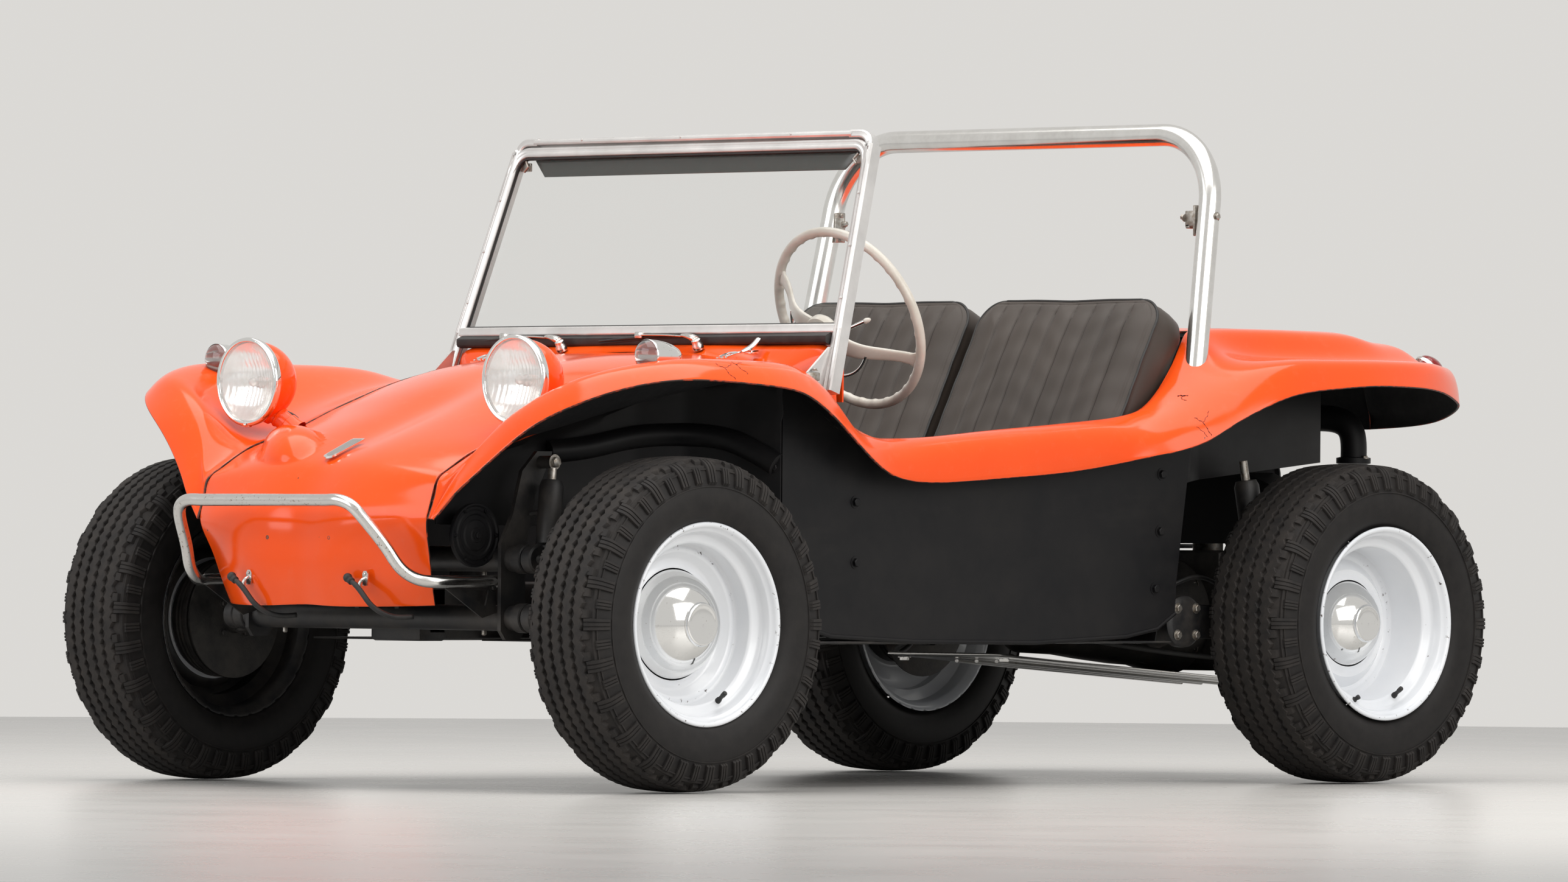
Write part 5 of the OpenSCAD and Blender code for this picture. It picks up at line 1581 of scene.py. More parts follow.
def make_steering_wheel():
    """An ivory rim with finger grips, two broad dished spokes and a chromed half ring."""
    m = frame_at(WHEEL_CENTRE, COLUMN)
    turn = Matrix.Rotation(math.radians(30.6), 4, "Z")
    m = m @ turn
    rim = Shape()
    rows = []
    steps = 288
    for k in range(steps):
        a = 2 * math.pi * k / steps
        grip = max(0.0, math.sin(a * 32)) ** 2 * 1.8
        row = []
        for b in np.linspace(0, 2 * math.pi, 18, endpoint=False):
            r = 10.2 + grip * max(0.0, math.cos(b - math.pi))
            row.append(((196 + r * math.cos(b)) * math.cos(a), (196 + r * math.cos(b)) * math.sin(a),
                        r * 1.02 * math.sin(b)))
        rows.append(moved(row, m))
    rim.grid(rows, close_u=True, close_v=True)
    # Spokes: broad, thick and dished down to the hub
    for s in (1, -1):
        line = spline([(s * 20, 0, -88), (s * 60, 0, -84), (s * 98, 0, -68), (s * 150, 0, -24), (s * 191, 0, 0)], 6)
        wide = np.interp(np.linspace(0, 1, len(line)), [0, 0.3, 0.75, 0.92, 1], [26, 20, 13, 14, 22])
        rows = []
        for (x, y, z), w in zip(line, wide):
            ring = [(x, y + w * math.cos(b), z + (7.5 if math.sin(b) > 0 else 6) * math.copysign(
                abs(math.sin(b)) ** 0.6, math.sin(b))) for b in np.linspace(0, 2 * math.pi, 20, endpoint=False)]
            rows.append(moved(ring, m))
        rim.grid(rows, close_v=True)
    profile = [(0.2, -100), (30, -100), (39, -97), (42, -90), (42, -80), (38, -74), (30, -72)]
    rim.turned([(q, h) for q, h in profile], WHEEL_CENTRE, COLUMN, 48)
    made = rim.piece("steering_wheel_rim", "steering_wheel", "ivory", IVORY, sharp=45)
    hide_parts("steering_wheel")
    horn = Shape()
    horn.turned([(30, -72), (29, -68), (24, -65), (22, -62), (12, -60), (0.2, -59.5)], WHEEL_CENTRE, COLUMN, 48)
    arc = [(104 * math.cos(a), 104 * math.sin(a), -66) for a in np.linspace(math.radians(184), math.radians(356), 40)]
    horn.tube(moved(arc, m), 3.6, 12)
    horn.piece("steering_wheel_horn_ring", "steering_wheel", "chrome", CHROME, sharp=45)

    column = Shape()
    base = WHEEL_CENTRE - COLUMN * 102
    column.turned([(0.2, 0), (30, 0), (33, -4), (33, -30), (27, -44), (21, -52), (21, -230), (24, -234),
                   (24, -250), (21, -254), (19, -500), (0.2, -500)], base, COLUMN, 40)
    made = column.piece("steering_column_tube", "chassis", "black_plastic", SATIN, sharp=35)
    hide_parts("steering_column")
    stalk = Shape()
    path = spline([(324, 786, 934), (378, 802, 951), (424, 822, 971)], 8)
    stalk.tube(path, np.interp(np.linspace(0, 1, len(path)), [0, 0.5, 1], [4, 4.5, 6.5]), 14, flat=0.7)
    stalk.piece("signal_stalk", "chassis", "chrome", CHROME, sharp=45)
    tip = Shape()
    tip.tube(spline([(423, 821.5, 970.5), (429, 824, 973), (435, 826.5, 975.5)], 4),
             [6.5, 7.4, 7.4, 7.4, 7, 6.5, 5.6, 4.5, 3], 14, flat=0.8)
    tip.piece("signal_stalk_tip", "chassis", "ivory", IVORY, sharp=0)


def cushion(name, origin, across, along, out, half, length, thick, crown, seams, corner):
    """A pleated cushion: a crowned face with sewn channels, gusset sides, a soft back and piping."""
    origin, across, along, out = (Vector(v) for v in (origin, across, along, out))

    def at(x, s, d):
        return origin + across * x + along * s + out * d

    shape = Shape()
    m, n = 100, 240
    # Rows bunch up at the top so that its corners come out round
    heights = [length * i / 70 for i in range(60)]
    last = length * 59 / 70
    heights += [last + (length - last) * math.sin(math.pi / 2 * (i + 1) / (m - 59)) for i in range(m - 59)]
    rows = []
    for s in heights:
        v = s / length
        over = max(0.0, s - (length - corner)) / corner
        width = half - corner * (1 - math.sqrt(max(0.0, 1 - over * over))) - 10 * max(0.0, 0.04 - v) / 0.04
        row = []
        for j in range(n + 1):
            u = -1 + 2 * j / n
            x = u * width
            edge = min(width - abs(x), length - s + 4 if corner > 20 else length - s, s + 3)
            d = crown * (1 - math.exp(-edge / 34.0)) + 6 * (1 - u * u) - crown
            ease = min(1.0, max(0.0, edge - 10) / 26)
            for k in seams:
                gap = abs(x - k)
                d -= ease * (4.4 * math.exp(-(gap / 2.6) ** 2) + 3.4 * math.exp(-(gap / 13.0) ** 2))
            d -= 1.6 * math.exp(-((edge - 13) / 2.2) ** 2)
            # A few soft creases
            d += 0.9 * math.sin(s * 0.027 + x * 0.012) * math.sin(x * 0.019 + s * 0.007) \
                + 0.5 * math.sin(s * 0.09 + 3 * math.sin(x * 0.02))
            dip = -7 * math.exp(-(x / 150) ** 2) * max(0.0, (v - 0.8) / 0.2) if corner > 20 else 0
            row.append(at(x, s + dip, d))
        rows.append(row)
    shape.grid(rows)
    # Gusset and back: from the face's rim round to a soft flat back
    rim = [rows[0][j] for j in range(0, n + 1, 2)] + [rows[i][n] for i in range(1, m)] \
        + [rows[m][j] for j in range(n, -1, -2)] + [rows[i][0] for i in range(m - 1, 0, -1)]
    centre = at(0, length / 2, 0)

    def ring(drop, pull):
        points = []
        for p in rim:
            flat = p - centre
            flat = flat - out * flat.dot(out)
            points.append(p + flat.normalized() * pull - out * drop)
        return points

    shape.grid([ring(*r) for r in ((0, 0), (5, -1.5), (14, 1), (thick * 0.30, 4), (thick * 0.55, 4.5),
                                   (thick * 0.80, 2), (thick * 0.93, -7), (thick, -22), (thick + 1, -60))],
               close_v=True, flip=True)
    base = len(shape.verts) - len(rim)
    shape.faces.append(tuple(base + k for k in range(len(rim))))
    shape.mats.append(0)
    body = shape.piece(name, "chassis", "vinyl", VINYL, sharp=60)
    piping = Shape()
    piping.tube(ring(1, 1.6), 3.0, 8, closed=True)
    piping.piece(name + "_piping", "chassis", "vinyl", RUBBER, sharp=0)
    return body


def make_seats():
    lean, tilt = math.radians(28), math.radians(5)
    pleats = [-189, -135, -81, -27, 27, 81, 135, 189]
    backs, bases = [], []
    for s, tag in ((1, "left"), (-1, "right")):
        backs.append(cushion("seat_back_" + tag, (s * 281, 1333, 562), (1, 0, 0), (0, math.sin(lean), math.cos(lean)),
                             (0, -math.cos(lean), math.sin(lean)), 263, 541, 98, 20, pleats, 62))
        bases.append(cushion("seat_base_" + tag, (s * 313, 958, 486), (1, 0, 0), (0, math.cos(tilt), math.sin(tilt)),
                             (0, -math.sin(tilt), math.cos(tilt)), 230, 420, 128, 20,
                             [p * 0.84 for p in pleats], 16))
    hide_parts("seat_backs")
    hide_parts("seat_bases")


def make_dashboard():
    """The painted dashboard with one round dial, knobs and a grab handle."""
    panel = Shape()
    rows = []
    for z in np.linspace(800, 912, 8):
        curl = 6 * max(0.0, (z - 890) / 22) ** 2
        rows.append([(x, 641 - curl + 4 * (x / 540) ** 2, z) for x in np.linspace(-538, 538, 40)])
    panel_shape(np.array(rows, float), 5, (0, 1, 0), panel, (0, 0, 0))
    made = panel.piece("dashboard_panel", "chassis", "body_paint", PAINT, sharp=50)
    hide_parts("dashboard")
    trim, glass, black = Shape(), Shape(), Shape()
    dial = (300, 650, 862)
    trim.turned([(46, -4), (49, 2), (49, 6), (45, 9), (43, 6), (43, 2)], dial, (0, 1, 0), 56)
    black.turned([(43, 2), (42, 2.5), (0.2, 3)], dial, (0, 1, 0), 48)
    for k in range(11):
        a = math.radians(-130 + 26 * k)
        x, z = dial[0] - 36 * math.sin(a), dial[2] + 36 * math.cos(a)
        turn = Matrix.Rotation(a, 3, "Y")
        glass.block((x, dial[1] + 3.5, z), (1.6, 1, 8), turn)
    needle = Matrix.Rotation(math.radians(-100), 3, "Y")
    glass.block((dial[0] + 14, dial[1] + 4.5, dial[2] + 2), (1.8, 1, 32), needle)
    for x in (60, 110, 160, -60):
        black.turned([(5, 0), (5, 10), (9, 12), (10, 18), (8, 21), (0.2, 21)], (x, 646, 850), (0, 1, 0), 28)
    black.turned([(14, 0), (14, 3), (8, 5), (0.2, 5)], (205, 646, 835), (0, 1, 0), 28)
    handle = spline([(-420, 646, 850), (-418, 672, 850), (-360, 682, 850), (-300, 682, 850), (-242, 672, 850),
                     (-240, 646, 850)], 6)
    trim.tube(handle, 8, 16)
    trim.piece("dashboard_trim", "chassis", "chrome", CHROME, sharp=35)
    black.piece("dashboard_dial_and_knobs", "chassis", "black_plastic", SATIN, sharp=35)
    glass.piece("dashboard_dial_marks", "chassis", "ivory", IVORY, sharp=35)


def make_controls():
    """Gear lever in its boot, handbrake, three hinged pedals."""
    metal, black = Shape(), Shape()
    metal.tube(spline([(0, 1010, 428), (0, 992, 500), (0, 985, 580), (0, 1010, 658)], 8), 6, 16)
    black.turned([(34, 420 - 668), (33, -236), (24, -226), (26, -218), (18, -208), (20, -200), (11, -188)],
                 (0, 1008, 668), (0, 0.05, 1), 32)
    black.ball((0, 1012, 672), 20, (1, 1, 1.1), steps=24)
    metal.tube(spline([(0, 1120, 424), (0, 1092, 474), (0, 1000, 514), (0, 905, 542)], 8), 8, 14)
    black.tube([(0, 985, 519), (0, 975, 523), (0, 905, 543), (0, 892, 546)], [10, 14, 14, 11], 18)
    for x, width in ((190, 46), (270, 46), (370, 38)):
        metal.tube(spline([(x, 602, 312), (x, 612, 360), (x, 636, 440)], 6), 7, 12)
        black.block((x, 646, 472), (width, 9, 62), Matrix.Rotation(math.radians(-20), 3, "X"), bevel=3)
        for k in range(5):
            black.block((x, 651, 450 + k * 11), (width * 0.86, 4, 4), Matrix.Rotation(math.radians(-20), 3, "X"),
                        bevel=1)
    metal.tube([(168, 600, 312), (392, 600, 312)], 9, 18)
    for x in (168, 392):
        metal.block((x, 600, 308), (12, 34, 12), bevel=2)
    made = metal.piece("controls_metal", "chassis", "cast_metal", ZINC, sharp=40)
    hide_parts("cabin_controls")
    black.piece("controls_black", "chassis", "black_plastic", RUBBER, sharp=40)


make_steering_wheel()
make_seats()
make_dashboard()
make_controls()


# ---- tub, chassis, engine ----

BODY_GRID = spline_grid(side_rows(), 3, 3).reshape(-1, 3)


def underside(x, y, gap=9.0):
    """Height just under the body's left side at a place, from the nearest of its surface points."""
    d = np.hypot(BODY_GRID[:, 0] - abs(x), BODY_GRID[:, 1] - y)
    near = d.argsort()[:6]
    return float(np.average(BODY_GRID[near, 2], weights=1 / (d[near] + 1))) - gap


def make_tub():
    """Flat black sides, their upper edges tucked under the body, held by hexagon bolts."""
    foot = [(416, 345), (560, 312), (803, 301), (1167, 298), (1446, 311), (1540, 327), (1596, 360), (1600, 430),
            (1640, 700), (1655, 770)]
    top = [(y, underside(600, y)) for y in (1640, 1600, 1560, 1510, 1450, 1350, 1200, 1040, 900, 780, 700, 650,
                                            600, 560, 520, 480, 450, 416)]
    shape = Shape()
    shape.plate(foot + top, (TUB_X - 4, 0, 0), (0, 1, 0), (0, 0, 1), 4)
    # Rolled lower edge and a pressed stiffening line
    shape.tube([(TUB_X - 1, y, z + 3) for y, z in foot[:7]], 5, 8)
    for y, z in ((629, 592), (630, 467), (1552, 658), (1547, 537), (1533, 415)):
        shape.bolt((TUB_X, y, z), (1, 0, 0), 9, 8)
    # Liner from the side's upper edge out under the fender
    rows = [[(586, y, underside(590, y)), (608, y, underside(610, y, 8)), (630, y, underside(630, y, 8)),
             (648, y, underside(648, y, 9))] for y in np.linspace(414, 700, 30)]
    panel_shape(np.array(rows, float), 3, (0, 0, 1), shape, (0, 0, 0))
    # Pressed roll round the inner arch, above the tyre
    roll = spline([(302, 20, 690), (320, 130, 702), (352, 222, 722), (413, 316, 728), (488, 369, 716),
                   (580, 408, 668)], 8)
    shape.tube(roll, 24, 16)
    # Inner arch, out to the seam under the fender
    plan = [(300, -285, 540), (300, -200, 540), (300, -100, 540), (300, 40, 540), (318, 130, 420), (352, 225, 330),
            (415, 320, 300), (490, 372, 300), (TUB_X - 2, 412, 300)]
    high = [612, 650, 690, 722, 752, 790, 825, 815, 770]
    rows = []
    for (x, y, low), z in zip(plan, high):
        reach = {300: 62, 318: 66, 352: 62, 415: 44, 490: 20}.get(x, 6)
        over = underside(x + reach, y)
        rows.append([(x, y, low), (x, y, (low + z) / 2), (x, y, z - 14), (x + 6, y, z + 2),
                     (x + reach * 0.5, y, (z + over) / 2 + 2), (x + reach, y, over)])
    g = np.array(rows, float)
    g = np.array([[np.interp(t, range(len(rows)), g[:, k, c]) for c in range(3)] for t in
                  np.linspace(0, len(rows) - 1, 60) for k in range(6)]).reshape(60, 6, 3)
    panel_shape(g, 4, (1, -0.3, 0.2), shape, (0, 0, 0))
    # Wall behind the arch, beside the rear wheel
    rear = [(TUB_X - 32, 1660, 640), (500, 1740, 645), (468, 1800, 650), (462, 2190, 690)]
    tall = [845, 890, 900, 900]
    g = np.array([[(x, y, low), (x, y, (low + z) / 2), (x, y, z)] for (x, y, low), z in zip(rear, tall)], float)
    panel_shape(g, 4, (1, -0.2, 0), shape, (0, 0, 0))
    for x, y, z in ((521, 384, 640), (575, 406, 662), (455, 347, 600), (380, 268, 560)):
        shape.bolt((x + 2, y, z), (0.4, -0.9, 0), 7, 6)
    made = shape.mirrored().piece("tub_walls", "chassis", "black_paint", SATIN, sharp=35)
    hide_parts("tub_sides", "inner_wings")


def make_bulkhead():
    """Black board behind the seats, with pressed ribs and the belt mounts."""
    shape = Shape()
    lean = 140 / (955 - 300)
    rows = []
    for z in np.linspace(300, 953, 30):
        row = []
        for x in np.linspace(-529, 529, 60):
            rib = 3 * math.exp(-((abs(x) - 180) / 14) ** 2) + 3 * math.exp(-((abs(x) - 420) / 14) ** 2)
            row.append((x, 1598 + (z - 300) * lean - rib, z))
        rows.append(row)
    panel_shape(np.array(rows, float), 4, (0, -1, 0), shape, (0, 0, 0))
    for x in (-480, -120, 120, 480):
        shape.bolt((x, 1611, 366), (0, -1, 0.2), 9, 8)
    made = shape.piece("rear_bulkhead_board", "chassis", "black_paint", SATIN, sharp=35)
    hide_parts("rear_bulkhead")


def make_front_axle():
    """Twin torsion tubes, shock towers, trailing arms, dampers, steering box and track rods."""
    shape, bright = Shape(), Shape()
    for z in (350, 470):
        shape.tube([(-432, -150, z), (432, -150, z)], 26, 32)
        for s in (1, -1):
            shape.turned([(27, 0), (30, 2), (30, 26), (27, 28)], (s * 404, -150, z), (s, 0, 0), 32)
            bright.turned([(3, -3), (5, 0), (5, 8), (3, 10), (0.2, 10)], (s * 300, -150, z - 26), (0, 0, -1), 12)
    for s in (1, -1):
        plate = [(-184, 324), (-170, 306), (-130, 306), (-116, 324), (-116, 488), (-88, 600), (-44, 684), (-42, 690),
                 (-84, 690), (-126, 650), (-152, 560), (-184, 500)]
        shape.plate(plate, (s * 380 - 5, 0, 0), (0, 1, 0), (0, 0, 1), 10)
        shape.tube([(s * 375, -74, 668), (s * 425, -74, 668)], 13, 20)
        bright.bolt((s * 425, -74, 668), (s, 0, 0), 11, 9)
        shape.plate([(-170, 350), (-120, 350), (-120, 470), (-170, 470)], (s * 60 - 6, 0, 0),
                    (0, 1, 0), (0, 0, 1), 12)
        for z in (364, 456):
            bright.bolt((s * 66, -140, z), (s, 0, 0), 8, 7)
    made = shape.piece("front_beam_tubes", "chassis", "frame_paint", FRAME_BLACK, sharp=35)
    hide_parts("front_beam")
    bright.piece("front_beam_bolts", "chassis", "cast_metal", ZINC, sharp=35)

    arms, rods = Shape(), Shape()
    for s in (1, -1):
        for z in (350, 470):
            arms.turned([(0.2, 0), (24, 0), (29, 4), (29, 26), (25, 30), (0.2, 30)], (s * 433, -150, z), (s, 0, 0), 32)
            path = spline([(s * 450, -150, z), (s * 486, -112, z - 2), (s * 528, -52, z - 6), (s * 551, -10, z - 8)], 6)
            arms.tube(path, np.interp(np.linspace(0, 1, len(path)), [0, 0.3, 1], [17, 12, 14]), 18, flat=0.8)
        arms.tube([(s * 552, -8, 326), (s * 552, -8, 484)], 15, 20)
        for z in (338, 472):
            arms.turned([(15, 0), (19, 2), (19, 20), (15, 22)], (s * 552, -8, z - 11), (0, 0, 1), 24)
        # Damper: rod, body, dust sleeve and eyes
        low, high = Vector((s * 445, -120, 372)), Vector((s * 419, -74, 655))
        along = (high - low).normalized()
        arms.turned([(0.2, 0), (12, 0), (17, 6), (17, 150), (15, 154), (0.2, 154)], low, along, 28)
        arms.turned([(18, 126), (25, 130), (25, 250), (21, 262), (0.2, 264)], low, along, 28)
        rods.tube([tuple(low + along * 258), tuple(high)], 9, 16)
        arms.turned([(17, -14), (17, 14)], low, (1, 0, 0), 24)
        rods.bolt(tuple(low + Vector((s * 16, 0, 0))), (s, 0, 0), 9, 8)
        # Brake hose and track rod
        rods.tube([(s * 40, 96, 356), (s * 520, 84, 346)], 9, 14)
        for x in (80, 500):
            arms.tube([(s * x, 95, 355), (s * (x + 22), 94, 354)], 13, 14)
        arms.tube(spline([(s * 376, -108, 560), (s * 430, -60, 560), (s * 500, -10, 470), (s * 540, 6, 400)], 7), 5, 8)
    arms.turned([(0.2, -40), (34, -40), (38, -30), (38, 44), (30, 52), (12, 58), (12, 96), (0.2, 96)],
                (60, 30, 410), (0, 0, -1), 30)
    made = arms.piece("front_suspension_arms", "chassis", "frame_paint", FRAME_BLACK, sharp=35)
    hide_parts("front_suspension")
    rods.piece("front_suspension_rods", "chassis", "cast_metal", ZINC, sharp=35)


def make_rear_axle():
    """Torsion tube, frame fork, ribbed gearbox, axle tubes, spring plates, dampers and cables."""
    shape, cast, bright, hose = Shape(), Shape(), Shape(), Shape()
    shape.tube([(-528, 1665, 345), (528, 1665, 345)], 45, 40)
    for s in (1, -1):
        fork = spline([(s * 130, 1652, 350), (s * 184, 1780, 356), (s * 190, 1930, 352), (s * 104, 2120, 346)], 8)
        shape.tube(fork, 25, 20)
        shape.turned([(0.2, 0), (50, 0), (55, 4), (55, 24), (50, 29), (40, 31), (0.2, 31)],
                     (s * 529, 1665, 345), (s, 0, 0), 40)
        for k in range(4):
            a = math.radians(45 + 90 * k)
            bright.bolt((s * 560, 1665 + 40 * math.cos(a), 345 + 40 * math.sin(a)), (s, 0, 0), 8, 7)
        plate = [(1625, 315), (1675, 311), (WHEELBASE - 46, 300), (WHEELBASE - 46, 380), (1675, 379), (1625, 375)]
        shape.plate(plate, (s * 552 - 4, 0, 0), (0, 1, 0), (0, 0, 1), 8)
        low, high = Vector((s * 512, WHEELBASE - 60, 300)), Vector((s * 490, WHEELBASE - 118, 690))
        along = (high - low).normalized()
        shape.turned([(0.2, 0), (14, 0), (18, 8), (18, 200), (0.2, 204)], low, along, 28)
        shape.turned([(20, 176), (27, 182), (27, 340), (22, 352), (0.2, 354)], low, along, 28)
        bright.tube([tuple(low + along * 350), tuple(high)], 9, 16)
        shape.turned([(18, -16), (18, 16)], low, (1, 0, 0), 24)
        bright.bolt(tuple(low + Vector((s * 18, 0, 0))), (s, 0, 0), 10, 9)
        # Axle tube with its boot, and the brake plate
        cast.turned([(0.2, 0), (62, 0), (66, 8), (60, 26), (52, 30), (56, 38), (48, 44), (52, 52), (44, 58), (48, 66),
                     (38, 74), (36, 96), (36, 440), (48, 446), (60, 460), (60, 489), (0.2, 489)],
                    (s * 100, WHEELBASE, REAR_R), (s, 0, 0), 36)
        cast.turned([(0.2, 0), (120, 0), (131, 2), (131, 5), (0.2, 5)], (s * 584, WHEELBASE, REAR_R), (s, 0, 0), 56)
        cast.tube([(s * 588, WHEELBASE, REAR_R), (s * 700, WHEELBASE, REAR_R)], 17, 20)
        for k in range(4):
            a = math.radians(45 + 90 * k)
            bright.bolt((s * 583, WHEELBASE + 46 * math.cos(a), REAR_R + 46 * math.sin(a)), (-s, 0, 0), 9, 8)
        # Handbrake cable hanging from the frame to the brake plate, and the brake hose
        hose.tube(spline([(s * 90, 1640, 330), (s * 300, 1700, 296), (s * 480, 1840, 268), (s * 560, 1960, 280),
                          (s * 582, 2030, 330)], 8), 6, 10)
        hose.tube(spline([(s * 470, 1655, 398), (s * 500, 1760, 440), (s * 480, 1900, 400), (s * 500, 2010, 372)], 8),
                  5, 8)
    cast.turned([(0.2, 0), (62, 0), (74, 10), (80, 20), (84, 120), (94, 200), (104, 300), (108, 370),
                 (120, 420), (127, 480), (127, 488), (0.2, 488)], (0, 1715, 352), (0, 1, 0), 48)
    for k in range(10):
        a = 2 * math.pi * k / 10
        d = Vector((math.cos(a), 0, math.sin(a)))
        cast.plate([(60, 40), (66, 40), (100, 300), (116, 420), (126, 470), (90, 470)],
                   Vector((0, 1715, 352)) - d.cross(Vector((0, 1, 0))) * 3, tuple(d), (0, 1, 0), 6)
        bright.bolt(tuple(Vector((0, 2186, 352)) + d * 118), (0, -1, 0), 8, 8)
    made = cast.piece("gearbox_casting", "chassis", "cast_metal", CAST, sharp=30)
    frame_made = shape.piece("rear_frame", "chassis", "frame_paint", FRAME_BLACK, sharp=35)
    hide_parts("rear_axle")
    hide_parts("rear_suspension")
    bright.piece("rear_frame_bolts", "chassis", "cast_metal", ZINC, sharp=35)
    hose.piece("brake_cables", "chassis", "rubber", RUBBER, sharp=45)


def make_engine():
    """Air-cooled flat four: finned barrels under their covers, shroud, fan, pulley and intake."""
    cast, black, bright, red = Shape(), Shape(), Shape(), Shape()
    y = 2204
    cast.block((0, y + 142, 372), (300, 284, 250), bevel=14)
    for s in (1, -1):
        for k in (0, 1):
            cy = y + 90 + 130 * k
            for j in range(13):
                cast.turned([(0.2, 0), (58, 0), (58, 3), (0.2, 3)], (s * (160 + 11 * j), cy, 430), (s, 0, 0), 28)
            cast.tube([(s * 150, cy, 430), (s * 300, cy, 430)], 47, 24)
            bright.tube([(s * 150, cy - 26, 372), (s * 306, cy - 26, 388)], 10, 12)
            bright.tube([(s * 150, cy + 26, 372), (s * 306, cy + 26, 388)], 10, 12)
        cast.block((s * 330, y + 160, 430), (56, 236, 120), bevel=8)
        black.block((s * 372, y + 160, 420), (30, 226, 96), bevel=12)
        bright.tube(spline([(s * 386, y + 60, 440), (s * 392, y + 160, 372), (s * 386, y + 260, 440)], 7), 3, 8)
        black.block((s * 236, y + 160, 506), (190, 240, 10), bevel=4)
    cast.block((0, y + 142, 254), (240, 250, 36), bevel=12)
    for k in range(7):
        cast.block((0, y + 40 + 34 * k, 240), (230, 4, 14))
    # Shroud with the fan housing
    profile = [(-326, 512), (326, 512), (330, 560), (300, 630), (190, 668), (165, 742), (117, 807), (60, 842), (0, 855),
               (-60, 842), (-117, 807), (-165, 742), (-190, 668), (-300, 630), (-330, 560)]
    black.plate(profile, (0, y + 130, 0), (1, 0, 0), (0, 0, 1), 92)
    black.turned([(164, 0), (168, 4), (168, 92), (164, 96)], (0, y + 38, 690), (0, 1, 0), 56)
    bright.turned([(0.2, 0), (55, 0), (60, 6), (60, 120), (52, 128), (0.2, 130)], (0, y + 130, 660), (0, 1, 0), 40)
    black.turned([(0.2, 0), (64, 0), (66, 6), (58, 12), (58, 18), (66, 24), (64, 30), (0.2, 30)],
                 (0, y + 262, 660), (0, 1, 0), 40)
    black.turned([(0.2, 0), (20, 0), (22, 10), (80, 14), (85, 20), (78, 27), (78, 31), (85, 38), (80, 42), (0.2, 42)],
                 (0, y + 276, 472), (0, 1, 0), 48)
    red.tube([(62, y + 277, 662), (82, y + 297, 470)], 5, 8)
    red.tube([(-62, y + 277, 662), (-82, y + 297, 470)], 5, 8)
    # Carburettor, intake pipe with its flange, air cleaner behind the shroud
    pipe = spline([(150, y + 120, 780), (215, 2420, 788), (268, 2450, 786), (300, 2464, 764), (306, 2468, 696)], 8)
    black.tube(pipe, 29, 28)
    black.turned([(30, 0), (38, 2), (38, 14), (30, 16)], (306, 2468, 688), (0, 0, 1), 32)
    bright.bolt((340, 2468, 700), (0, 0, 1), 6, 6)
    cast.block((0, y + 180, 566), (70, 60, 80), bevel=8)
    cast.tube(spline([(-240, y + 160, 500), (-120, y + 180, 548), (0, y + 182, 540), (120, y + 180, 548),
                      (240, y + 160, 500)], 8), 17, 16)
    bright.turned([(0.2, 0), (30, 0), (34, 8), (34, 74), (28, 82), (0.2, 84)], (-90, y + 222, 470), (0, 0, 1), 32)
    red.tube(spline([(-90, y + 222, 552), (-140, y + 230, 600), (-260, y + 200, 560), (-330, y + 160, 480)], 8), 5, 8)
    red.tube(spline([(-90, y + 222, 552), (-20, y + 240, 600), (200, y + 210, 570), (330, y + 160, 480)], 8), 5, 8)
    made = cast.piece("engine_castings", "chassis", "cast_metal", CAST, sharp=32)
    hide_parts("engine")
    black.piece("engine_tinware", "chassis", "black_paint", SATIN, sharp=32)
    bright.piece("engine_bright_parts", "chassis", "cast_metal", ZINC, sharp=35)
    red.piece("engine_leads_and_belt", "chassis", "rubber", RUBBER, sharp=45)

    pipes = Shape()
    pipes.turned([(0.2, 0), (52, 0), (58, 6), (60, 14), (60, 646), (58, 654), (52, 660), (0.2, 660)],
                 (-330, 2560, 330), (1, 0, 0), 40)
    for x in (-300, -180, 180, 300):
        pipes.turned([(60, 0), (62, 1), (62, 9), (60, 10)], (x, 2560, 330), (1, 0, 0), 40)
    for s in (1, -1):
        pipes.turned([(0.2, 20), (22, 20), (22, 142), (24, 146), (24, 154), (20, 154), (20, 60), (0.2, 60)],
                     (s * 110, 2560, 320), (0, 140, -15), 28)
        pipes.tube(spline([(s * 318, 2440, 378), (s * 318, 2440, 352), (s * 318, 2490, 332), (s * 318, 2530, 330)], 8),
                   20, 20)
        pipes.turned([(21, 0), (34, 1), (34, 9), (21, 10)], (s * 318, 2440, 366), (0, 0, 1), 28)
    made = pipes.piece("exhaust_box", "chassis", "cast_metal", RUST, sharp=35)
    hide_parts("exhaust")

    guard = Shape()
    outline = [(1500, 268), (1560, 262), (2330, 207), (2560, 207), (2600, 240)]
    rows = [[(x, yy, z) for x in np.linspace(-170, 170, 24)] for yy, z in outline]
    g = np.array(rows, float)
    panel_shape(g, 5, (0, 0, -1), guard, (0, 0, 0))
    for x in (-150, 150):
        for yy in (1530, 2545):
            guard.bolt((x, yy, 262 if yy < 2000 else 203), (0, 0, -1), 10, 7)
    for x in (-60, 0, 60):
        guard.tube([(x, 1600, 254), (x, 2310, 204)], 6, 8, flat=0.6)
    made = guard.piece("skid_guard", "chassis", "alloy", WORN_CHROME, sharp=35)
    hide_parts("skid_plate")


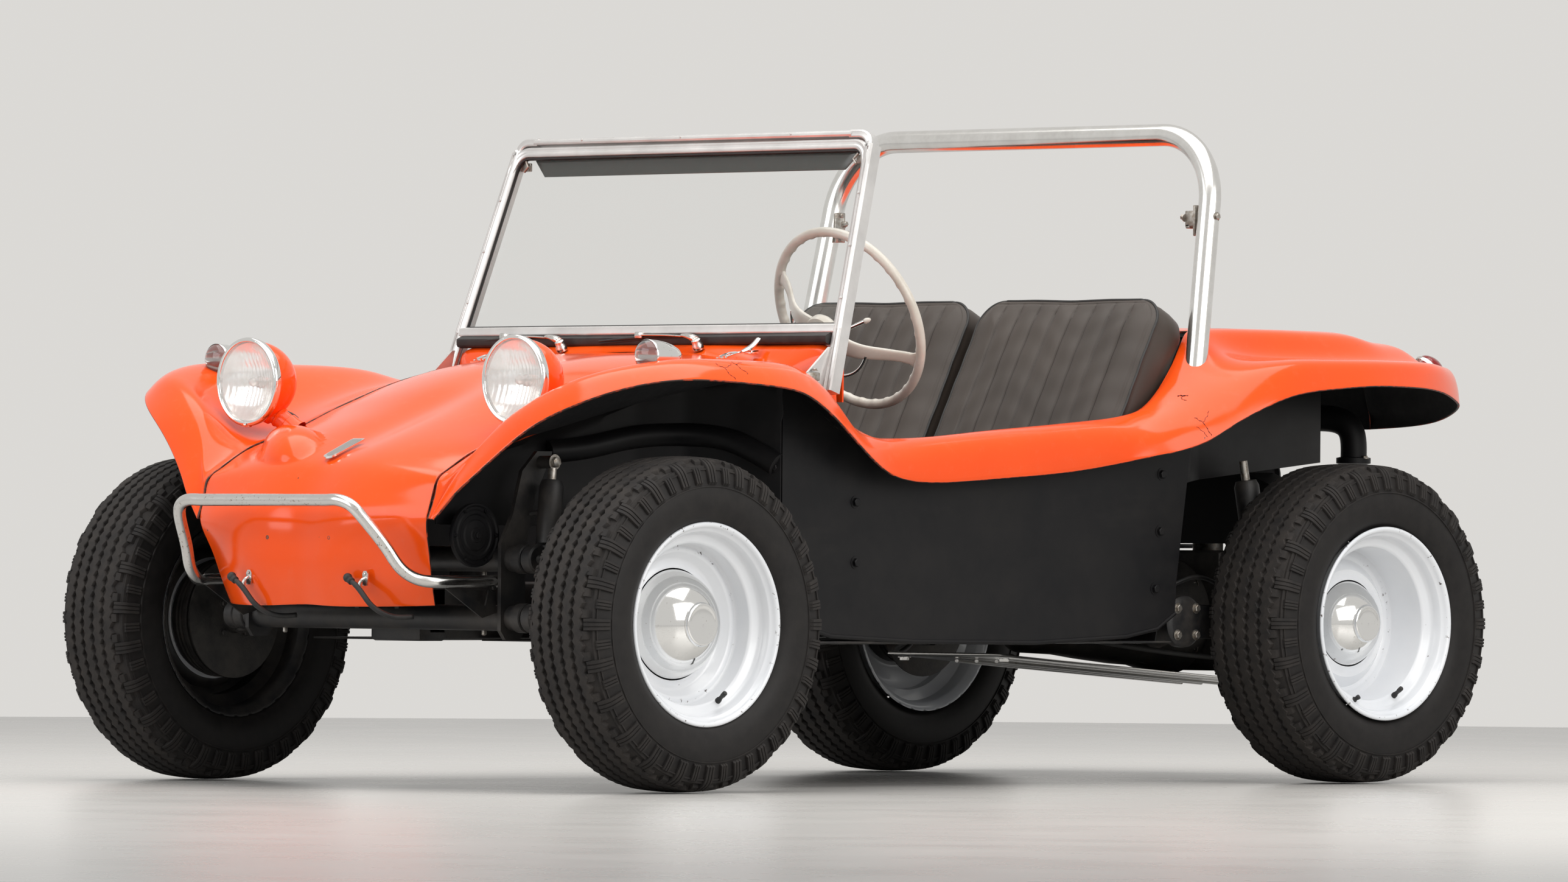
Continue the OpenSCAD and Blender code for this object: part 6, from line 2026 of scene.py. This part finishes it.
def make_visor_and_pane():
    """The tinted visor strip on its two pivots, and the laminated pane."""
    visor = Shape()
    rows = []
    for t in np.linspace(0, 1, 4):
        z = 1286 + 44 * t
        y = 726 + 8 * t
        half = 452 + (44 * t)
        rows.append([(x, y + 5 * (x / 500) ** 2, z) for x in np.linspace(-half, half, 40)])
    panel_shape(np.array(rows, float), 4, (0, -1, 0), visor, (0, 0, 0))
    made = visor.piece("visor_strip", "chassis", "visor", VISOR, sharp=40)
    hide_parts("sun_visor")
    pane = Shape()
    rows = [[on_pane(x, z, -3) for x in np.linspace(-half_pane(z) + 2, half_pane(z) - 2, 14)]
            for z in np.linspace(956, 1326, 10)]
    panel_shape(np.array(rows, float), 5, (0, -1, 0.3), pane, (0, 0, 0))
    made = pane.piece("windshield_pane", "chassis", "window_glass", WINDOW, sharp=40)
    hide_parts("windshield_glass")


def make_knuckles():
    """Kingpins, spindles, slotted brake plates and steering arms, riding on the steered bodies."""
    for s, tag in ((1, "left"), (-1, "right")):
        shape = Shape()
        shape.turned([(0.2, 0), (14, 0), (16, 3), (16, 168), (14, 172), (0.2, 172)], (s * 600, 0, 314), (0, 0, 1), 24)
        shape.turned([(0.2, 0), (32, 0), (32, 24), (24, 30), (0.2, 30)], (s * 600, 0, FRONT_R), (s, 0, 0), 32)
        shape.turned([(0.2, 0), (112, 0), (126, 1), (126, 5), (0.2, 5)], (s * 622, 0, FRONT_R), (s, 0, 0), 56)
        shape.turned([(17, 0), (17, 109), (0.2, 109)], (s * 629, 0, FRONT_R), (s, 0, 0), 24)
        arm = [(s * 600, 0, FRONT_R + 30), (s * 588, 44, FRONT_R + 25), (s * 570, 92, FRONT_R + 20)]
        shape.tube(spline(arm, 6), 11, 14)
        for k in range(4):
            a = math.radians(45 + 90 * k)
            shape.bolt((s * 622, 44 * math.cos(a), FRONT_R + 44 * math.sin(a)), (-s, 0, 0), 7, 5)
        made = shape.piece("knuckle_" + tag + "_forging", "steer_" + tag, "cast_metal", CAST, sharp=35)
        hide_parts("knuckle_" + tag)


def make_floor():
    """Ribbed floor halves either side of the hollow spine, with a mat over them in the cockpit."""
    shape, mat = Shape(), Shape()
    for s in (1, -1):
        rows = []
        for y in np.linspace(421, 1589, 60):
            row = []
            for x in np.linspace(73, 585, 40):
                rib = 3.0 * (0.5 + 0.5 * math.cos(y * 0.105)) ** 4 if 110 < x < 545 else 0
                row.append((s * x, y, 300 - rib))
            rows.append(row)
        panel_shape(np.array(rows, float), 4, (0, 0, -1), shape, (0, 0, 0))
        front = [[(s * x, y, 300) for x in np.linspace(73, edge, 10)] for y, edge in
                 ((60, 440), (318, 440), (322, 400), (421, 400))]
        panel_shape(np.array(front, float), 4, (0, 0, -1), shape, (0, 0, 0))
        mat.block((s * 328, 760, 309), (460, 520, 8), bevel=3)
        for k in range(30):
            mat.block((s * 328, 512 + 17 * k, 314), (440, 6, 4))
    shape.block((0, 745, 362), (150, 1700, 120), bevel=16)
    shape.block((0, -80, 362), (150, 78, 124), bevel=8)
    mat.block((0, 1160, 424), (132, 760, 6), bevel=2)
    made = shape.piece("floor_and_spine", "chassis", "frame_paint", FRAME_BLACK, sharp=35)
    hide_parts("floor_pan")
    mat.piece("floor_mats", "chassis", "rubber", RUBBER, sharp=35)


def make_marks():
    """Cracks in the paint and chips along edges: thin dark lines that lie in the body's surface."""
    shape = Shape()

    def crack(points, width):
        line = []
        for x, y, z in spline(points, 5):
            d = np.linalg.norm(MARK_GRID - (x, y, z), axis=1)
            near = d.argsort()[:4]
            line.append(np.average(MARK_GRID[near], axis=0, weights=1 / (d[near] + 0.5)))
        shape.tube(line, [max(0.35, width * (0.55 + 0.45 * math.sin(k * 2.3))) for k in range(len(line))], 6)

    crack([(741, 66, 862), (756, 82, 858), (768, 90, 850), (776, 96, 840)], 1.1)
    crack([(756, 82, 858), (750, 100, 862), (742, 118, 868)], 0.8)
    crack([(733, 122, 873), (742, 130, 868), (755, 134, 858), (764, 140, 848)], 1.1)
    crack([(742, 130, 868), (736, 144, 872), (730, 160, 876)], 0.7)
    crack([(630, 1556, 828), (637, 1567, 826), (646, 1576, 822)], 2.2)
    crack([(637, 1567, 826), (640, 1558, 824), (652, 1560, 818)], 1.2)
    crack([(690, 1548, 780), (702, 1560, 768), (712, 1566, 752), (718, 1570, 740)], 1.1)
    crack([(702, 1560, 768), (696, 1574, 776), (690, 1590, 786)], 0.8)
    crack([(700, 1545, 760), (708, 1556, 748), (716, 1560, 738)], 0.8)
    shape.piece("paint_cracks", "chassis", "black_paint", SATIN, sharp=0)


MARK_GRID = spline_grid(side_rows(), 8, 8).reshape(-1, 3)
make_tub()
make_bulkhead()
make_front_axle()
make_rear_axle()
make_engine()
make_visor_and_pane()
make_knuckles()
make_floor()
make_marks()
